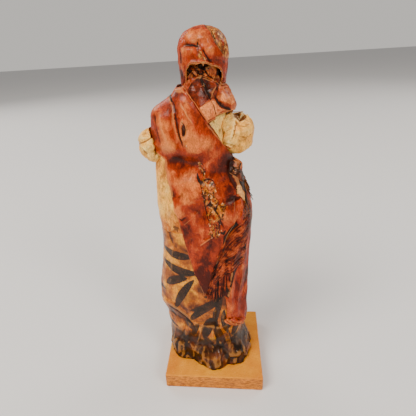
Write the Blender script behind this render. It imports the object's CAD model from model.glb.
import math

import bmesh
import bpy
import numpy as np
from mathutils import Matrix, Vector
from mathutils.bvhtree import BVHTree
from mathutils.geometry import delaunay_2d_cdt


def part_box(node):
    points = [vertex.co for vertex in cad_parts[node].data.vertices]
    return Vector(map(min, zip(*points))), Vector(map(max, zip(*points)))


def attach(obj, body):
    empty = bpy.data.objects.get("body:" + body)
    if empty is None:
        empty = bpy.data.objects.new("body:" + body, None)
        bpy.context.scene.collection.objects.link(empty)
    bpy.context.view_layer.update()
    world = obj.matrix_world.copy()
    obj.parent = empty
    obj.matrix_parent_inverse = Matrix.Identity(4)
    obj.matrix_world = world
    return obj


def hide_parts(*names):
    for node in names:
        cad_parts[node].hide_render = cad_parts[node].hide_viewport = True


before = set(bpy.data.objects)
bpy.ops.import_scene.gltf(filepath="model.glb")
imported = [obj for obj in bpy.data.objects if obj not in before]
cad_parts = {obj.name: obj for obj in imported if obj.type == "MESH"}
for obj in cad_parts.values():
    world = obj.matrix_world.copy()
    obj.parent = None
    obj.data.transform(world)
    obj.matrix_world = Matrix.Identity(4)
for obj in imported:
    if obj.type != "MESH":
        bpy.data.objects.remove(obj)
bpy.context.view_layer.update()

# A papier-mache figure of a woman in a shawl, on a wooden block. She faces -Y.
# Lengths below are in millimetres and become metres only in the meshes. A
# "turn" is an angle in degrees round the upright axis from the middle of her
# back, positive over her right side; "across" is a distance over her back,
# positive to her right.

MM = 0.001

# ---------------------------------------------------------------- camera
# The view from behind and a little above her head, close up, so that the
# block narrows away from the eye and the figure leans in the frame.

LENS = 29.9
SENSOR = 36.0
FRAME_SHIFT = 0.042
EYE = Vector((-16.6, 270.1, 287.9)) * MM
EYE_HEADING = math.radians(-7.04)
EYE_TILT = math.radians(24.22)
EYE_ROLL = math.radians(-3.66)


def aim_camera():
    forward = Vector((-math.sin(EYE_HEADING) * math.cos(EYE_TILT),
        -math.cos(EYE_HEADING) * math.cos(EYE_TILT), -math.sin(EYE_TILT),))
    level = Vector((-math.cos(EYE_HEADING), math.sin(EYE_HEADING), 0))
    rise = level.cross(forward)
    right = math.cos(EYE_ROLL) * level + math.sin(EYE_ROLL) * rise
    up = math.cos(EYE_ROLL) * rise - math.sin(EYE_ROLL) * level
    turn = Matrix((right, up, -forward)).transposed().to_4x4()
    data = bpy.data.cameras.new("view_camera")
    data.lens = LENS
    data.sensor_width = SENSOR
    data.shift_x = FRAME_SHIFT
    data.clip_start = 0.01
    camera = bpy.data.objects.new("view_camera", data)
    camera.matrix_world = Matrix.Translation(EYE) @ turn
    bpy.context.collection.objects.link(camera)
    bpy.context.scene.camera = camera


aim_camera()

# ---------------------------------------------------------------- block
# A square of fibreboard, sawn and sanded, with eased edges and a thin clear
# coat. The figure is glued to the middle of its top.


class Graph:
    """Short calls for placing shader nodes in one tree."""

    def __init__(self, tree):
        self.tree = tree

    def node(self, kind, values=None, **settings):
        made = self.tree.nodes.new(kind)
        for key, value in settings.items():
            setattr(made, key, value)
        for key, value in (values or {}).items():
            if isinstance(value, bpy.types.NodeSocket):
                self.tree.links.new(value, made.inputs[key])
            else:
                made.inputs[key].default_value = value
        return made

    def math(self, operation, a, b=0.0, clamp=False):
        return self.node("ShaderNodeMath", {0: a, 1: b}, operation=operation,
            use_clamp=clamp).outputs[0]

    def mix(self, factor, a, b, blend="MIX"):
        made = self.node("ShaderNodeMix", {0: factor, 6: a, 7: b}, data_type="RGBA",
            blend_type=blend)
        return made.outputs[2]

    def span(self, value, low, high, to_low=0.0, to_high=1.0):
        made = self.node("ShaderNodeMapRange", {0: value, 1: low, 2: high, 3: to_low, 4: to_high})
        return made.outputs[0]

    def noise(self, place, scale, detail=4.0, roughness=0.55, distortion=0.0):
        values = {"Vector": place, "Scale": scale, "Detail": detail, "Roughness": roughness,
            "Distortion": distortion}
        return self.node("ShaderNodeTexNoise", values).outputs["Fac"]

    def place(self, scale=(1, 1, 1)):
        coordinates = self.node("ShaderNodeTexCoord").outputs["Object"]
        return self.node("ShaderNodeMapping", {"Vector": coordinates,
            "Scale": scale}).outputs["Vector"]

    def mark(self, name):
        return self.node("ShaderNodeAttribute", attribute_name=name).outputs["Fac"]


def tint(red, green, blue):
    """A colour given as the eye sees it, 0 to 255, as linear light."""
    linear = []
    for value in (red, green, blue):
        part = value / 255
        linear.append(part / 12.92 if part <= 0.04045 else ((part + 0.055) / 1.055) ** 2.4)
    return (*linear, 1.0)


def new_group(name, inputs, outputs):
    """A shader node group with named inputs {name: default} and outputs {name: kind}."""
    tree = bpy.data.node_groups.new(name, "ShaderNodeTree")
    for title, default in inputs.items():
        kind = "NodeSocketColor" if isinstance(default, tuple) else "NodeSocketFloat"
        socket = tree.interface.new_socket(title, in_out="INPUT", socket_type=kind)
        socket.default_value = default
    for title, kind in outputs.items():
        tree.interface.new_socket(title, in_out="OUTPUT", socket_type=kind)
    graph = Graph(tree)
    given = tree.nodes.new("NodeGroupInput").outputs
    return tree, graph, given, tree.nodes.new("NodeGroupOutput").inputs


def use_group(graph, tree, values):
    return graph.node("ShaderNodeGroup", values, node_tree=tree).outputs


VARNISH_AMBER = (1.0, 0.72, 0.5, 1.0)
VARNISH_CLEAR = (1.0, 0.9, 0.74, 1.0)


def new_material(name, roughness=0.5, coat=0.0, coat_roughness=0.2, specular=0.5):
    material = bpy.data.materials.new(name)
    material.use_nodes = True
    graph = Graph(material.node_tree)
    surface = material.node_tree.nodes["Principled BSDF"]
    surface.inputs["Roughness"].default_value = roughness
    surface.inputs["Coat Weight"].default_value = coat
    surface.inputs["Coat Roughness"].default_value = coat_roughness
    surface.inputs["Specular IOR Level"].default_value = specular
    surface.inputs["Specular Tint"].default_value = VARNISH_AMBER
    surface.inputs["Coat Tint"].default_value = VARNISH_CLEAR
    return material, graph, surface


def finish_surface(graph, surface, colour, roughness=None, height=None, strength=0.3, depth=0.0004):
    graph.tree.links.new(colour, surface.inputs["Base Color"])
    if roughness is not None:
        graph.tree.links.new(roughness, surface.inputs["Roughness"])
    if height is not None:
        bump = graph.node("ShaderNodeBump", {"Height": height, "Strength": strength,
            "Distance": depth})
        graph.tree.links.new(bump.outputs["Normal"], surface.inputs["Normal"])


def make_object(name, points, faces, material, marks=None, smooth=True):
    """A mesh object from points in millimetres, with named numbers on its points."""
    mesh = bpy.data.meshes.new(name)
    mesh.from_pydata((np.asarray(points) * MM).tolist(), [], [tuple(face) for face in faces])
    mesh.update()
    shape = bmesh.new()
    shape.from_mesh(mesh)
    bmesh.ops.recalc_face_normals(shape, faces=shape.faces)
    shape.to_mesh(mesh)
    shape.free()
    for title, values in (marks or {}).items():
        layer = mesh.attributes.new(title, "FLOAT", "POINT")
        layer.data.foreach_set("value", np.ascontiguousarray(values, np.float32).ravel())
    mesh.polygons.foreach_set("use_smooth", [smooth and len(face) < 5 for face in faces])
    mesh.materials.append(material)
    made = bpy.data.objects.new(name, mesh)
    bpy.context.collection.objects.link(made)
    return made


def hashed(cells, seed):
    """Repeatable random numbers, 0 to 1, for whole-numbered cells."""
    mixed = cells[..., 0] * 374761393 + cells[..., 1] * 668265263 + cells[..., 2] * 1274126177
    mixed = (mixed + seed * 974634777) & 0xFFFFFFFF
    mixed = ((mixed ^ (mixed >> 13)) * 1103515245) & 0xFFFFFFFF
    mixed = ((mixed ^ (mixed >> 15)) * 668265261) & 0xFFFFFFFF
    return ((mixed ^ (mixed >> 16)) & 0xFFFFFF) / float(0xFFFFFF)


def soft_noise(points, size, seed=1, octaves=2):
    """Smooth noise from -1 to 1 over points in millimetres, with features of a given size."""
    total = np.zeros(points.shape[:-1])
    weight = 1.0
    for octave in range(octaves):
        scaled = points / size * 2 ** octave
        cell = np.floor(scaled).astype(np.int64)
        part = scaled - cell
        part = part * part * (3 - 2 * part)
        value = np.zeros(points.shape[:-1])
        for corner in np.ndindex(2, 2, 2):
            share = np.prod(np.where(corner, part, 1 - part), axis=-1)
            value += share * hashed(cell + np.array(corner), seed + 17 * octave)
        total += weight * (2 * value - 1)
        weight *= 0.5
    return total


def build_block():
    low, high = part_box("base_block")
    half = (high.x - low.x) / 2 / MM
    top = high.z / MM
    ease = 1.1
    steps = 5
    levels = []
    for i in range(steps + 1):
        angle = math.pi / 2 * i / steps
        levels.append((half - ease * (1 - math.sin(angle)), ease * (1 - math.cos(angle))))
    for share in np.linspace(0.15, 0.85, 6):
        levels.append((half, top * share))
    for i in range(steps + 1):
        angle = math.pi / 2 * i / steps
        levels.append((half - ease * (1 - math.cos(angle)), top - ease * (1 - math.sin(angle))))
    along = 60
    corner_round = 1.0
    rings = []
    for reach, z in levels:
        ring = []
        inner = reach - corner_round
        for side in range(4):
            heading = math.pi / 2 * side
            for i in range(along):
                slide = -inner + 2 * inner * i / along
                ring.append(Matrix.Rotation(heading, 2) @ Vector((reach, slide)))
            for i in range(5):
                bend = math.pi / 2 * i / 5
                place = Vector((inner + corner_round * math.cos(bend),
                    inner + corner_round * math.sin(bend)))
                ring.append(Matrix.Rotation(heading, 2) @ place)
        rings.append([(p.x, p.y, z) for p in ring])
    points = np.array(rings, float)
    rows, count = points.shape[:2]
    # Small dents and saw marks: more on the edges than on the faces.
    height_share = points[..., 2] / top
    near_edge = np.exp(-((1 - height_share) * top / 1.5) ** 2) + np.exp(-(height_share * top / 1.5) ** 2)
    dents = np.clip(soft_noise(points, 3.2, 5, 3) - 0.35, 0, 1) * 0.5 * near_edge
    points[..., :2] *= (1 - dents / half)[..., None]
    points[..., 2] -= dents * np.where(height_share > 0.9, 0.6, 0)
    faces = []
    for j in range(rows - 1):
        for i in range(count):
            k = (i + 1) % count
            faces.append((j * count + i, j * count + k, (j + 1) * count + k, (j + 1) * count + i))
    faces.append(tuple(reversed(range(count))))
    faces.append(tuple(range((rows - 1) * count, rows * count)))

    material, graph, surface = new_material("block_board", 0.5, coat=0.15, coat_roughness=0.35)
    place = graph.place()
    cloudy = graph.noise(place, 38.0, 3.0)
    grain = graph.noise(graph.place((1, 6, 1)), 260.0, 5.0, 0.7)
    specks = graph.noise(place, 900.0, 3.0, 0.6)
    colour = graph.mix(graph.span(cloudy, 0.35, 0.7), tint(206, 116, 8), tint(236, 160, 26))
    colour = graph.mix(graph.span(grain, 0.45, 0.75, 0.0, 0.55), colour, tint(180, 98, 26))
    colour = graph.mix(graph.span(specks, 0.62, 0.72, 0.0, 0.5), colour, tint(120, 66, 24))
    colour = graph.mix(graph.span(specks, 0.3, 0.38, 0.35, 0.0), colour, tint(240, 196, 130))
    # The sawn faces at the sides show coarser fibres than the sanded top.
    split = graph.node("ShaderNodeSeparateXYZ", {0: place})
    below = graph.math("LESS_THAN", split.outputs["Z"], (top - 0.9) * MM)
    fibres = graph.noise(graph.place((1, 1, 2.5)), 260.0, 5.0, 0.8)
    side_colour = graph.mix(graph.span(fibres, 0.42, 0.58), tint(128, 60, 8), tint(226, 136, 30))
    colour = graph.mix(graph.math("MULTIPLY", below, 0.75), colour, side_colour)
    roughness = graph.span(grain, 0.3, 0.7, 0.42, 0.6)
    height = graph.math("ADD", graph.math("MULTIPLY", fibres, below),
        graph.math("MULTIPLY", specks, 0.35))
    finish_surface(graph, surface, colour, roughness, height, 0.35, 0.0003)
    return make_object("block", points.reshape(-1, 3), faces, material)


block = build_block()
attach(block, "root")
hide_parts("base_block")

# ---------------------------------------------------------------- skirt
# Ochre paper rolled round the lower body and pasted down, its hem crushed on
# to the block. Black leaf strokes are brushed on it, and a brown varnish has
# pooled in the hem.

TURN_STEP = 1.5
TURNS = np.arange(-180.0, 180.0, TURN_STEP)


def spread_known(grid):
    """Fills the gaps of a grid from the nearest known values, wrapping round in turn."""
    for _ in range(400):
        gaps = np.isnan(grid)
        if not gaps.any():
            break
        padded = np.pad(grid, ((1, 1), (0, 0)), mode="edge")
        around = np.stack([padded[:-2], padded[2:], np.roll(grid, 1, axis=1),
            np.roll(grid, -1, axis=1)])
        known = ~np.isnan(around)
        total = np.where(known, around, 0).sum(0)
        count = known.sum(0)
        grid = np.where(gaps & (count > 0), total / np.maximum(count, 1), grid)
    return grid


def blur(grid, rows, columns, wrap=True):
    """A soft average over some rows and columns of a grid."""
    for axis, width in ((0, rows), (1, columns)):
        if width <= 0:
            continue
        reach = int(3 * width + 1)
        weights = np.exp(-0.5 * (np.arange(-reach, reach + 1) / width) ** 2)
        weights /= weights.sum()
        pad = [(0, 0), (0, 0)]
        pad[axis] = (reach, reach)
        padded = np.pad(grid, pad, mode="wrap" if wrap and axis == 1 else "edge")
        size = grid.shape[axis]
        grid = sum(
            weight * np.take(padded, np.arange(k, k + size), axis=axis)
            for k, weight in enumerate(weights)
        )
    return grid


def surface_tree(*objects):
    points = []
    faces = []
    for thing in objects:
        start = len(points)
        points.extend(v.co.copy() for v in thing.data.vertices)
        faces.extend([start + i for i in face.vertices] for face in thing.data.polygons)
    return BVHTree.FromPolygons(points, faces)


def radius_at(tree, turn, z, missing=np.nan):
    """The distance from the axis to a surface, seen from outside, at each turn and height."""
    reach = 0.15
    found = np.full(turn.shape, missing)
    for at in np.ndindex(turn.shape):
        angle = math.radians(turn[at])
        way = Vector((-math.sin(angle), math.cos(angle), 0))
        hit = tree.ray_cast(way * reach + Vector((0, 0, z[at] * MM)), -way, reach)
        if hit[0] is not None:
            found[at] = (reach - hit[3]) / MM
    return found


class Skin:
    """The outer radius of some CAD nodes at each turn and height, smoothed."""

    STEP = 1.6

    def __init__(self, *names, soften=0.9):
        tree = surface_tree(*(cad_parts[name] for name in names))
        self.low = min(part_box(name)[0].z for name in names) / MM - 3
        high = max(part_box(name)[1].z for name in names) / MM
        self.heights = np.arange(self.low, high + 5, self.STEP)
        turn, z = np.meshgrid(TURNS, self.heights)
        self.grid = blur(spread_known(radius_at(tree, turn, z)), soften, soften)

    def radius(self, turn, z):
        columns = np.mod(np.asarray(turn, float) + 180, 360) / TURN_STEP
        rows = np.clip((np.asarray(z, float) - self.low) / self.STEP, 0, len(self.heights) - 1.001)
        i = np.floor(columns).astype(int) % len(TURNS)
        j = np.floor(rows).astype(int)
        u = columns - np.floor(columns)
        v = rows - j
        k = (i + 1) % len(TURNS)
        low = self.grid[j, i] * (1 - u) + self.grid[j, k] * u
        high = self.grid[j + 1, i] * (1 - u) + self.grid[j + 1, k] * u
        return low * (1 - v) + high * v

    def laid_out(self, turn, z):
        """The radius, the points and the distance across her back, over the surface."""
        radius = self.radius(turn, z)
        return radius, from_turns(turn, z, radius), radius * np.sin(np.radians(turn))

    def turn_across(self, across, z):
        """The turn at which the surface at height z stands a given distance across her back."""
        turns = np.arange(-100.0, 100.5, 1.0)
        reach = self.radius(turns, np.full(len(turns), z)) * np.sin(np.radians(turns))
        return float(np.interp(across, np.maximum.accumulate(reach), turns))


def from_turns(turn, z, radius):
    angle = np.radians(turn)
    return np.stack([-radius * np.sin(angle), radius * np.cos(angle), z], axis=-1)


def facets(points, size, seed, stretch=(1, 1, 1)):
    """Crumpled paper: flat-sided humps and hollows that meet in sharp creases, about -1 to 1."""
    scaled = points / size * np.array(stretch, float)
    scaled = scaled + 0.25 * np.sin(scaled[..., [1, 2, 0]] * 2.1 + seed)
    cell = np.floor(scaled).astype(np.int64)
    nearest = np.full(points.shape[:-1], 1e9)
    second = nearest.copy()
    height = np.zeros(points.shape[:-1])
    other = height.copy()
    for offset in np.ndindex(3, 3, 3):
        near = cell + np.array(offset) - 1
        seat = near + np.stack([hashed(near, seed + k) for k in range(3)], axis=-1)
        lean = np.stack([hashed(near, seed + 5 + k) for k in range(3)], axis=-1) - 0.5
        away = np.linalg.norm(scaled - seat, axis=-1)
        plane = 1.6 * ((scaled - seat) * lean).sum(-1) + hashed(near, seed + 9) - 0.5
        closer = away < nearest
        between = ~closer & (away < second)
        other = np.where(closer, height, np.where(between, plane, other))
        second = np.where(closer, nearest, np.where(between, away, second))
        height = np.where(closer, plane, height)
        nearest = np.where(closer, away, nearest)
    # Neighbouring planes meet halfway, so that a crease is a bend and not a step.
    share = 0.5 * np.exp(-(second - nearest) / 0.16)
    return height * (1 - share) + other * share


def line_distance(across, z, stops):
    """Millimetres from a line through [across, z] stops, the share along it, and its side."""
    best = np.full(across.shape, 1e9)
    share = np.zeros(across.shape)
    side = np.zeros(across.shape)
    count = len(stops) - 1
    for i in range(count):
        (x1, z1), (x2, z2) = stops[i], stops[i + 1]
        dx, dz = x2 - x1, z2 - z1
        t = np.clip(((across - x1) * dx + (z - z1) * dz) / (dx * dx + dz * dz), 0, 1)
        away = np.hypot(across - x1 - t * dx, z - z1 - t * dz)
        closer = away < best
        share = np.where(closer, (i + t) / count, share)
        side = np.where(closer, np.sign((across - x1) * dz - (z - z1) * dx), side)
        best = np.where(closer, away, best)
    return best, share, side


def creases(across, z, lines):
    """Folds along lines: each is (height, width, stops). Sharp at the crest, fading at its ends."""
    total = np.zeros(across.shape)
    for height, width, stops in lines:
        away, share, _ = line_distance(across, z, stops)
        ends = np.clip(6 * share, 0, 1) * np.clip(6 * (1 - share), 0, 1)
        total += height * (0.25 + 0.75 * ends) * np.exp(-away / width)
    return total


def laps(across, z, lines):
    """Cloth lapped over itself: (height, width, stops). It stands proud on the left, then drops."""
    total = np.zeros(across.shape)
    for height, width, stops in lines:
        away, share, side = line_distance(across, z, stops)
        ends = np.clip(5 * share, 0, 1) * np.clip(5 * (1 - share), 0, 1)
        proud = 0.5 * np.exp(-away / width)
        sunk = -0.5 * np.exp(-away / (0.35 * width))
        total += height * ends * np.where(side > 0, proud, sunk)
    return total


def folded(across, z, stops, margin=14):
    """Heights of paper folded into flat planes between points: each stop is [across, z, height]."""
    xs = [stop[0] for stop in stops]
    zs = [stop[1] for stop in stops]
    frame_points = [
        (x, y, 0.0)
        for x in np.linspace(min(xs) - margin, max(xs) + margin, 4)
        for y in (min(zs) - margin, max(zs) + margin)
    ]
    frame_points += [
        (x, y, 0.0)
        for x in (min(xs) - margin, max(xs) + margin)
        for y in np.linspace(min(zs) - margin, max(zs) + margin, 5)[1:-1]
    ]
    known = list(stops) + frame_points
    laid = delaunay_2d_cdt([Vector(stop[:2]) for stop in known], [], [], 0, 1e-4)
    heights = [known[source[0]][2] for source in laid[3]]
    total = np.zeros(across.shape)
    for a, b, c in laid[2]:
        (ax, az), (bx, bz), (cx, cz) = laid[0][a], laid[0][b], laid[0][c]
        area = (bx - ax) * (cz - az) - (cx - ax) * (bz - az)
        u = ((bx - across) * (cz - z) - (cx - across) * (bz - z)) / area
        v = ((cx - across) * (az - z) - (ax - across) * (cz - z)) / area
        w = 1 - u - v
        inside = (u >= 0) & (v >= 0) & (w >= 0)
        total = np.where(inside, u * heights[a] + v * heights[b] + w * heights[c], total)
    return total


def blot(across, z, stops):
    """Distance outside a shape given by its corners, negative inside it."""
    away = np.full(across.shape, 1e9)
    inside = np.zeros(across.shape, bool)
    for (x1, z1), (x2, z2) in zip(stops, stops[1:] + stops[:1]):
        dx, dz = x2 - x1, z2 - z1
        t = np.clip(((across - x1) * dx + (z - z1) * dz) / (dx * dx + dz * dz), 0, 1)
        away = np.minimum(away, np.hypot(across - x1 - t * dx, z - z1 - t * dz))
        crosses = (z1 > z) != (z2 > z)
        safe = dz if dz else 1e-9
        inside ^= crosses & (across < x1 + dx * (z - z1) / safe)
    return np.where(inside, -away, away)


def leaf_stroke(across, z, start, end, width, bend):
    """Distance outside a brushed leaf, negative inside it."""
    x1, z1 = start
    dx, dz = end[0] - x1, end[1] - z1
    length = math.hypot(dx, dz)
    along = ((across - x1) * dx + (z - z1) * dz) / length ** 2
    aside = ((across - x1) * dz - (z - z1) * dx) / length
    inside = np.clip(along, 0, 1)
    spine = bend * 4 * inside * (1 - inside)
    swell = width * (4 * inside * (1 - inside)) ** 0.6
    past = np.maximum(np.abs(along - 0.5) - 0.5, 0) * length
    beside = np.abs(aside - spine) - swell
    return np.where(past > 0, np.hypot(past, np.maximum(beside, 0)), beside)


def closed_rings(points):
    """Quads round a stack of closed rings, with a cap on each end."""
    rows, count = points.shape[:2]
    index = np.arange(rows * count).reshape(rows, count)
    after = np.roll(index, -1, axis=1)
    faces = np.stack([index[:-1], after[:-1], after[1:], index[1:]], axis=-1).reshape(-1,
        4).tolist()
    faces.append(tuple(reversed(index[0].tolist())))
    faces.append(tuple(index[-1].tolist()))
    return faces


def ridge_mark(relief, rows=3.0, columns=3.0, wrap=True):
    """How far each point stands above (ridges) or below (creases) its surroundings."""
    return relief - blur(relief, rows, columns, wrap)


# A brushed, varnished paper: broad patches of colour, finer streaks over
# them, pale wear on ridges and paper edges, dark varnish pooled in creases.


def paper_colour_group():
    inputs = {"Deep": (0, 0, 0, 1), "Mid": (0, 0, 0, 1), "Pale": (0, 0, 0, 1), "Patch": 60.0,
        "Streak": 300.0, "Contrast": 1.0, "Tone": 0.0}
    outputs = {"Color": "NodeSocketColor", "Mottle": "NodeSocketFloat"}
    tree, graph, given, out = new_group("brushed_paper", inputs, outputs)
    place = graph.place()
    broad = graph.noise(place, given["Patch"], 3.0, 0.5, 0.4)
    streak = graph.noise(graph.place((1.0, 1.0, 0.45)), given["Streak"], 6.0, 0.7, 0.6)
    fibre = graph.noise(graph.place((1.0, 1.0, 0.6)), 1300.0, 3.0, 0.6)
    patches = graph.math("MULTIPLY", graph.math("SUBTRACT", broad, 0.5), given["Contrast"])
    brushed = graph.math("MULTIPLY", graph.math("SUBTRACT", streak, 0.5), 0.7)
    spread = graph.span(graph.noise(place, 150.0, 4.0, 0.7, 0.8), 0.36, 0.64, 0.55, 1.35)
    spread = graph.math("MULTIPLY", graph.math("MULTIPLY", given["Tone"], spread), 0.17)
    toned = graph.math("ADD", patches, spread)
    level = graph.math("ADD", graph.math("ADD", toned, brushed), 0.5, clamp=True)
    darker = graph.mix(graph.span(level, 0.12, 0.5), given["Deep"], given["Mid"])
    colour = graph.mix(graph.span(level, 0.5, 0.88), darker, given["Pale"])
    # Brush streaks and fibres show in every tone, light and dark alike.
    streaked = graph.span(streak, 0.3, 0.7, 0.68, 1.28)
    fibrous = graph.span(fibre, 0.3, 0.7, 0.66, 1.3)
    shade = graph.math("MULTIPLY", streaked, fibrous)
    level = graph.math("MULTIPLY", level, shade)
    shade = graph.node("ShaderNodeCombineXYZ", {0: shade, 1: shade, 2: shade}).outputs[0]
    colour = graph.mix(1.0, colour, shade, "MULTIPLY")
    graph.tree.links.new(colour, out["Color"])
    graph.tree.links.new(level, out["Mottle"])
    return tree


def fold_wear_group():
    inputs = {"Color": (0.5, 0.5, 0.5, 1), "Pale": (1, 1, 1, 1), "Dark": (0, 0, 0, 1), "Fold": 0.0,
        "Edge": 10.0, "Wear": 1.0, "Pool": 1.0}
    outputs = {"Color": "NodeSocketColor", "Roughness": "NodeSocketFloat"}
    tree, graph, given, out = new_group("fold_wear", inputs, outputs)
    broken = graph.math("SUBTRACT", graph.noise(graph.place(), 420.0, 4.0, 0.6), 0.5)
    lifted = graph.math("ADD", given["Fold"], graph.math("MULTIPLY", broken, 0.3))
    ridge = graph.span(lifted, 0.12, 0.4)
    ridge = graph.math("MULTIPLY", graph.math("MULTIPLY", ridge, given["Wear"]), 0.55, clamp=True)
    valley = graph.span(graph.math("ADD", given["Fold"], graph.math("MULTIPLY", broken, 0.16)),
        -0.08, -0.36)
    valley = graph.math("MULTIPLY", graph.math("MULTIPLY", valley, given["Pool"]), 0.92, clamp=True)
    rim = graph.span(graph.math("ADD", given["Edge"], graph.math("MULTIPLY", broken, 0.9)), 0.5,
        0.2)
    rim = graph.math("MULTIPLY", rim, graph.math("MULTIPLY", given["Wear"], 0.7), clamp=True)
    colour = graph.mix(valley, given["Color"], given["Dark"])
    colour = graph.mix(graph.math("MAXIMUM", ridge, rim), colour, given["Pale"])
    graph.tree.links.new(colour, out["Color"])
    rough = graph.math("ADD", graph.span(broken, -0.2, 0.2, 0.45, 0.65),
        graph.math("MULTIPLY", ridge, 0.15))
    graph.tree.links.new(rough, out["Roughness"])
    return tree


def paper_grain_group():
    tree, graph, given, out = new_group("paper_grain", {"Fineness": 1.0},
        {"Height": "NodeSocketFloat"})
    fibre_scale = graph.math("MULTIPLY", given["Fineness"], 900.0)
    brush_scale = graph.math("MULTIPLY", given["Fineness"], 380.0)
    fibre = graph.noise(graph.place(), fibre_scale, 4.0, 0.6, 0.8)
    brush = graph.noise(graph.place((1.0, 1.0, 0.3)), brush_scale, 3.0)
    total = graph.math("ADD", graph.math("MULTIPLY", fibre, 0.5), brush)
    graph.tree.links.new(total, out["Height"])
    return tree


def painted_mark_group():
    """A mask from a distance in millimetres to a painted shape, with a ragged, partly bare edge."""
    inputs = {"Distance": 10.0, "Ragged": 0.4, "Worn": 0.3}
    tree, graph, given, out = new_group("painted_mark", inputs, {"Mask": "NodeSocketFloat"})
    rough = graph.math("SUBTRACT", graph.noise(graph.place(), 600.0, 4.0, 0.6), 0.5)
    moved = graph.math("ADD", given["Distance"], graph.math("MULTIPLY", rough, given["Ragged"]))
    mask = graph.span(moved, 0.12, -0.12)
    bare = graph.span(graph.noise(graph.place(), 1100.0, 3.0), 0.56, 0.72)
    kept = graph.math("SUBTRACT", 1.0, graph.math("MULTIPLY", bare, given["Worn"]))
    graph.tree.links.new(graph.math("MULTIPLY", mask, kept), out["Mask"])
    return tree


def paper_tones(deep, mid, pale, patch, streak, contrast):
    """A paper's three tones, the size of its patches and streaks, and how far they differ."""
    return {"Deep": tint(*deep), "Mid": tint(*mid), "Pale": tint(*pale), "Patch": patch,
        "Streak": streak, "Contrast": contrast}


def finish_worn(graph, surface, colour, pale, dark, edge, wear, pool, fineness, strength, depth):
    """The last layers of a paper: wear on its folds, dark varnish in them, and its grain."""
    worn = use_group(graph, FOLD_WEAR, {
        "Color": colour, "Pale": pale, "Dark": dark, "Fold": graph.mark("fold"),
        "Edge": edge, "Wear": wear, "Pool": pool,
    })
    grain = use_group(graph, PAPER_GRAIN, {"Fineness": fineness})
    finish_surface(graph, surface, worn["Color"], worn["Roughness"], grain["Height"],
        strength, depth)


BRUSHED_PAPER = paper_colour_group()
FOLD_WEAR = fold_wear_group()
PAPER_GRAIN = paper_grain_group()
PAINTED_MARK = painted_mark_group()

body_skin = Skin("skirt", "blouse")

# Each stroke: start, end, half width and bend, by place on her back.
LEAF_STROKES = [
    ((-42, 133), (-15, 130), 3.9, 2.2), ((-43, 120), (-11, 114), 4.3, 3.2),
    ((-42, 96), (-21, 108), 4.0, -1.6), ((-15, 107), (-33, 71), 3.6, 2.6),
    ((9, 91), (-19, 74), 3.5, -2.2), ((6, 84), (-20, 61), 3.5, 3.0),
    ((-1, 67), (-8, 42), 4.6, 0.6), ((9, 90), (3, 60), 2.6, 1.6), ((2.6, 79), (8.5, 29), 2.7, 2.6),
    ((10, 77), (14, 46), 2.5, 2.0), ((17.6, 72), (13.6, 51), 2.4, -0.8),
    ((25.4, 62), (18, 42), 3.0, 0.6), ((16.5, 40), (28, 22), 2.8, 1.0),
    ((-12, 60), (-20, 42), 2.8, 0.6), ((22, 74), (22, 50), 2.2, -1.4),
    ((5, 58), (14, 26), 2.6, 1.4), ((-7, 90), (10, 92), 1.5, 0.5),
    ((-25, 63), (-20, 50), 2.9, 0.3),
]
FAN_REACH = 27
FRONT_FANS = [
    (118, 128), (150, 86), (-150, 132), (-118, 96), (176, 52), (-160, 56), (128, 48), (-104, 60),
]


def skirt_marks(turn, z, across):
    leaf = np.full(turn.shape, 9.0)
    for start, end, width, bend in LEAF_STROKES:
        stroke = leaf_stroke(across, z, start, end, width, bend)
        leaf = np.minimum(leaf, np.where(np.abs(turn) < 95, stroke, 9.0))
    for number, (fan_turn, fan_z) in enumerate(FRONT_FANS):
        aside = (np.mod(turn - fan_turn + 180, 360) - 180) * math.radians(34)
        for k in range(5):
            angle = math.radians(190 + 36 * k + 25 * math.sin(3 * number + k))
            way = np.array((math.cos(angle), math.sin(angle)))
            near = np.array((0, fan_z)) + 5 * way
            tip = np.array((0, fan_z)) + FAN_REACH * way
            leaf = np.minimum(leaf, leaf_stroke(aside, z, near, tip, 2.6, 1.5 * (-1) ** k))
    return leaf


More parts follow.
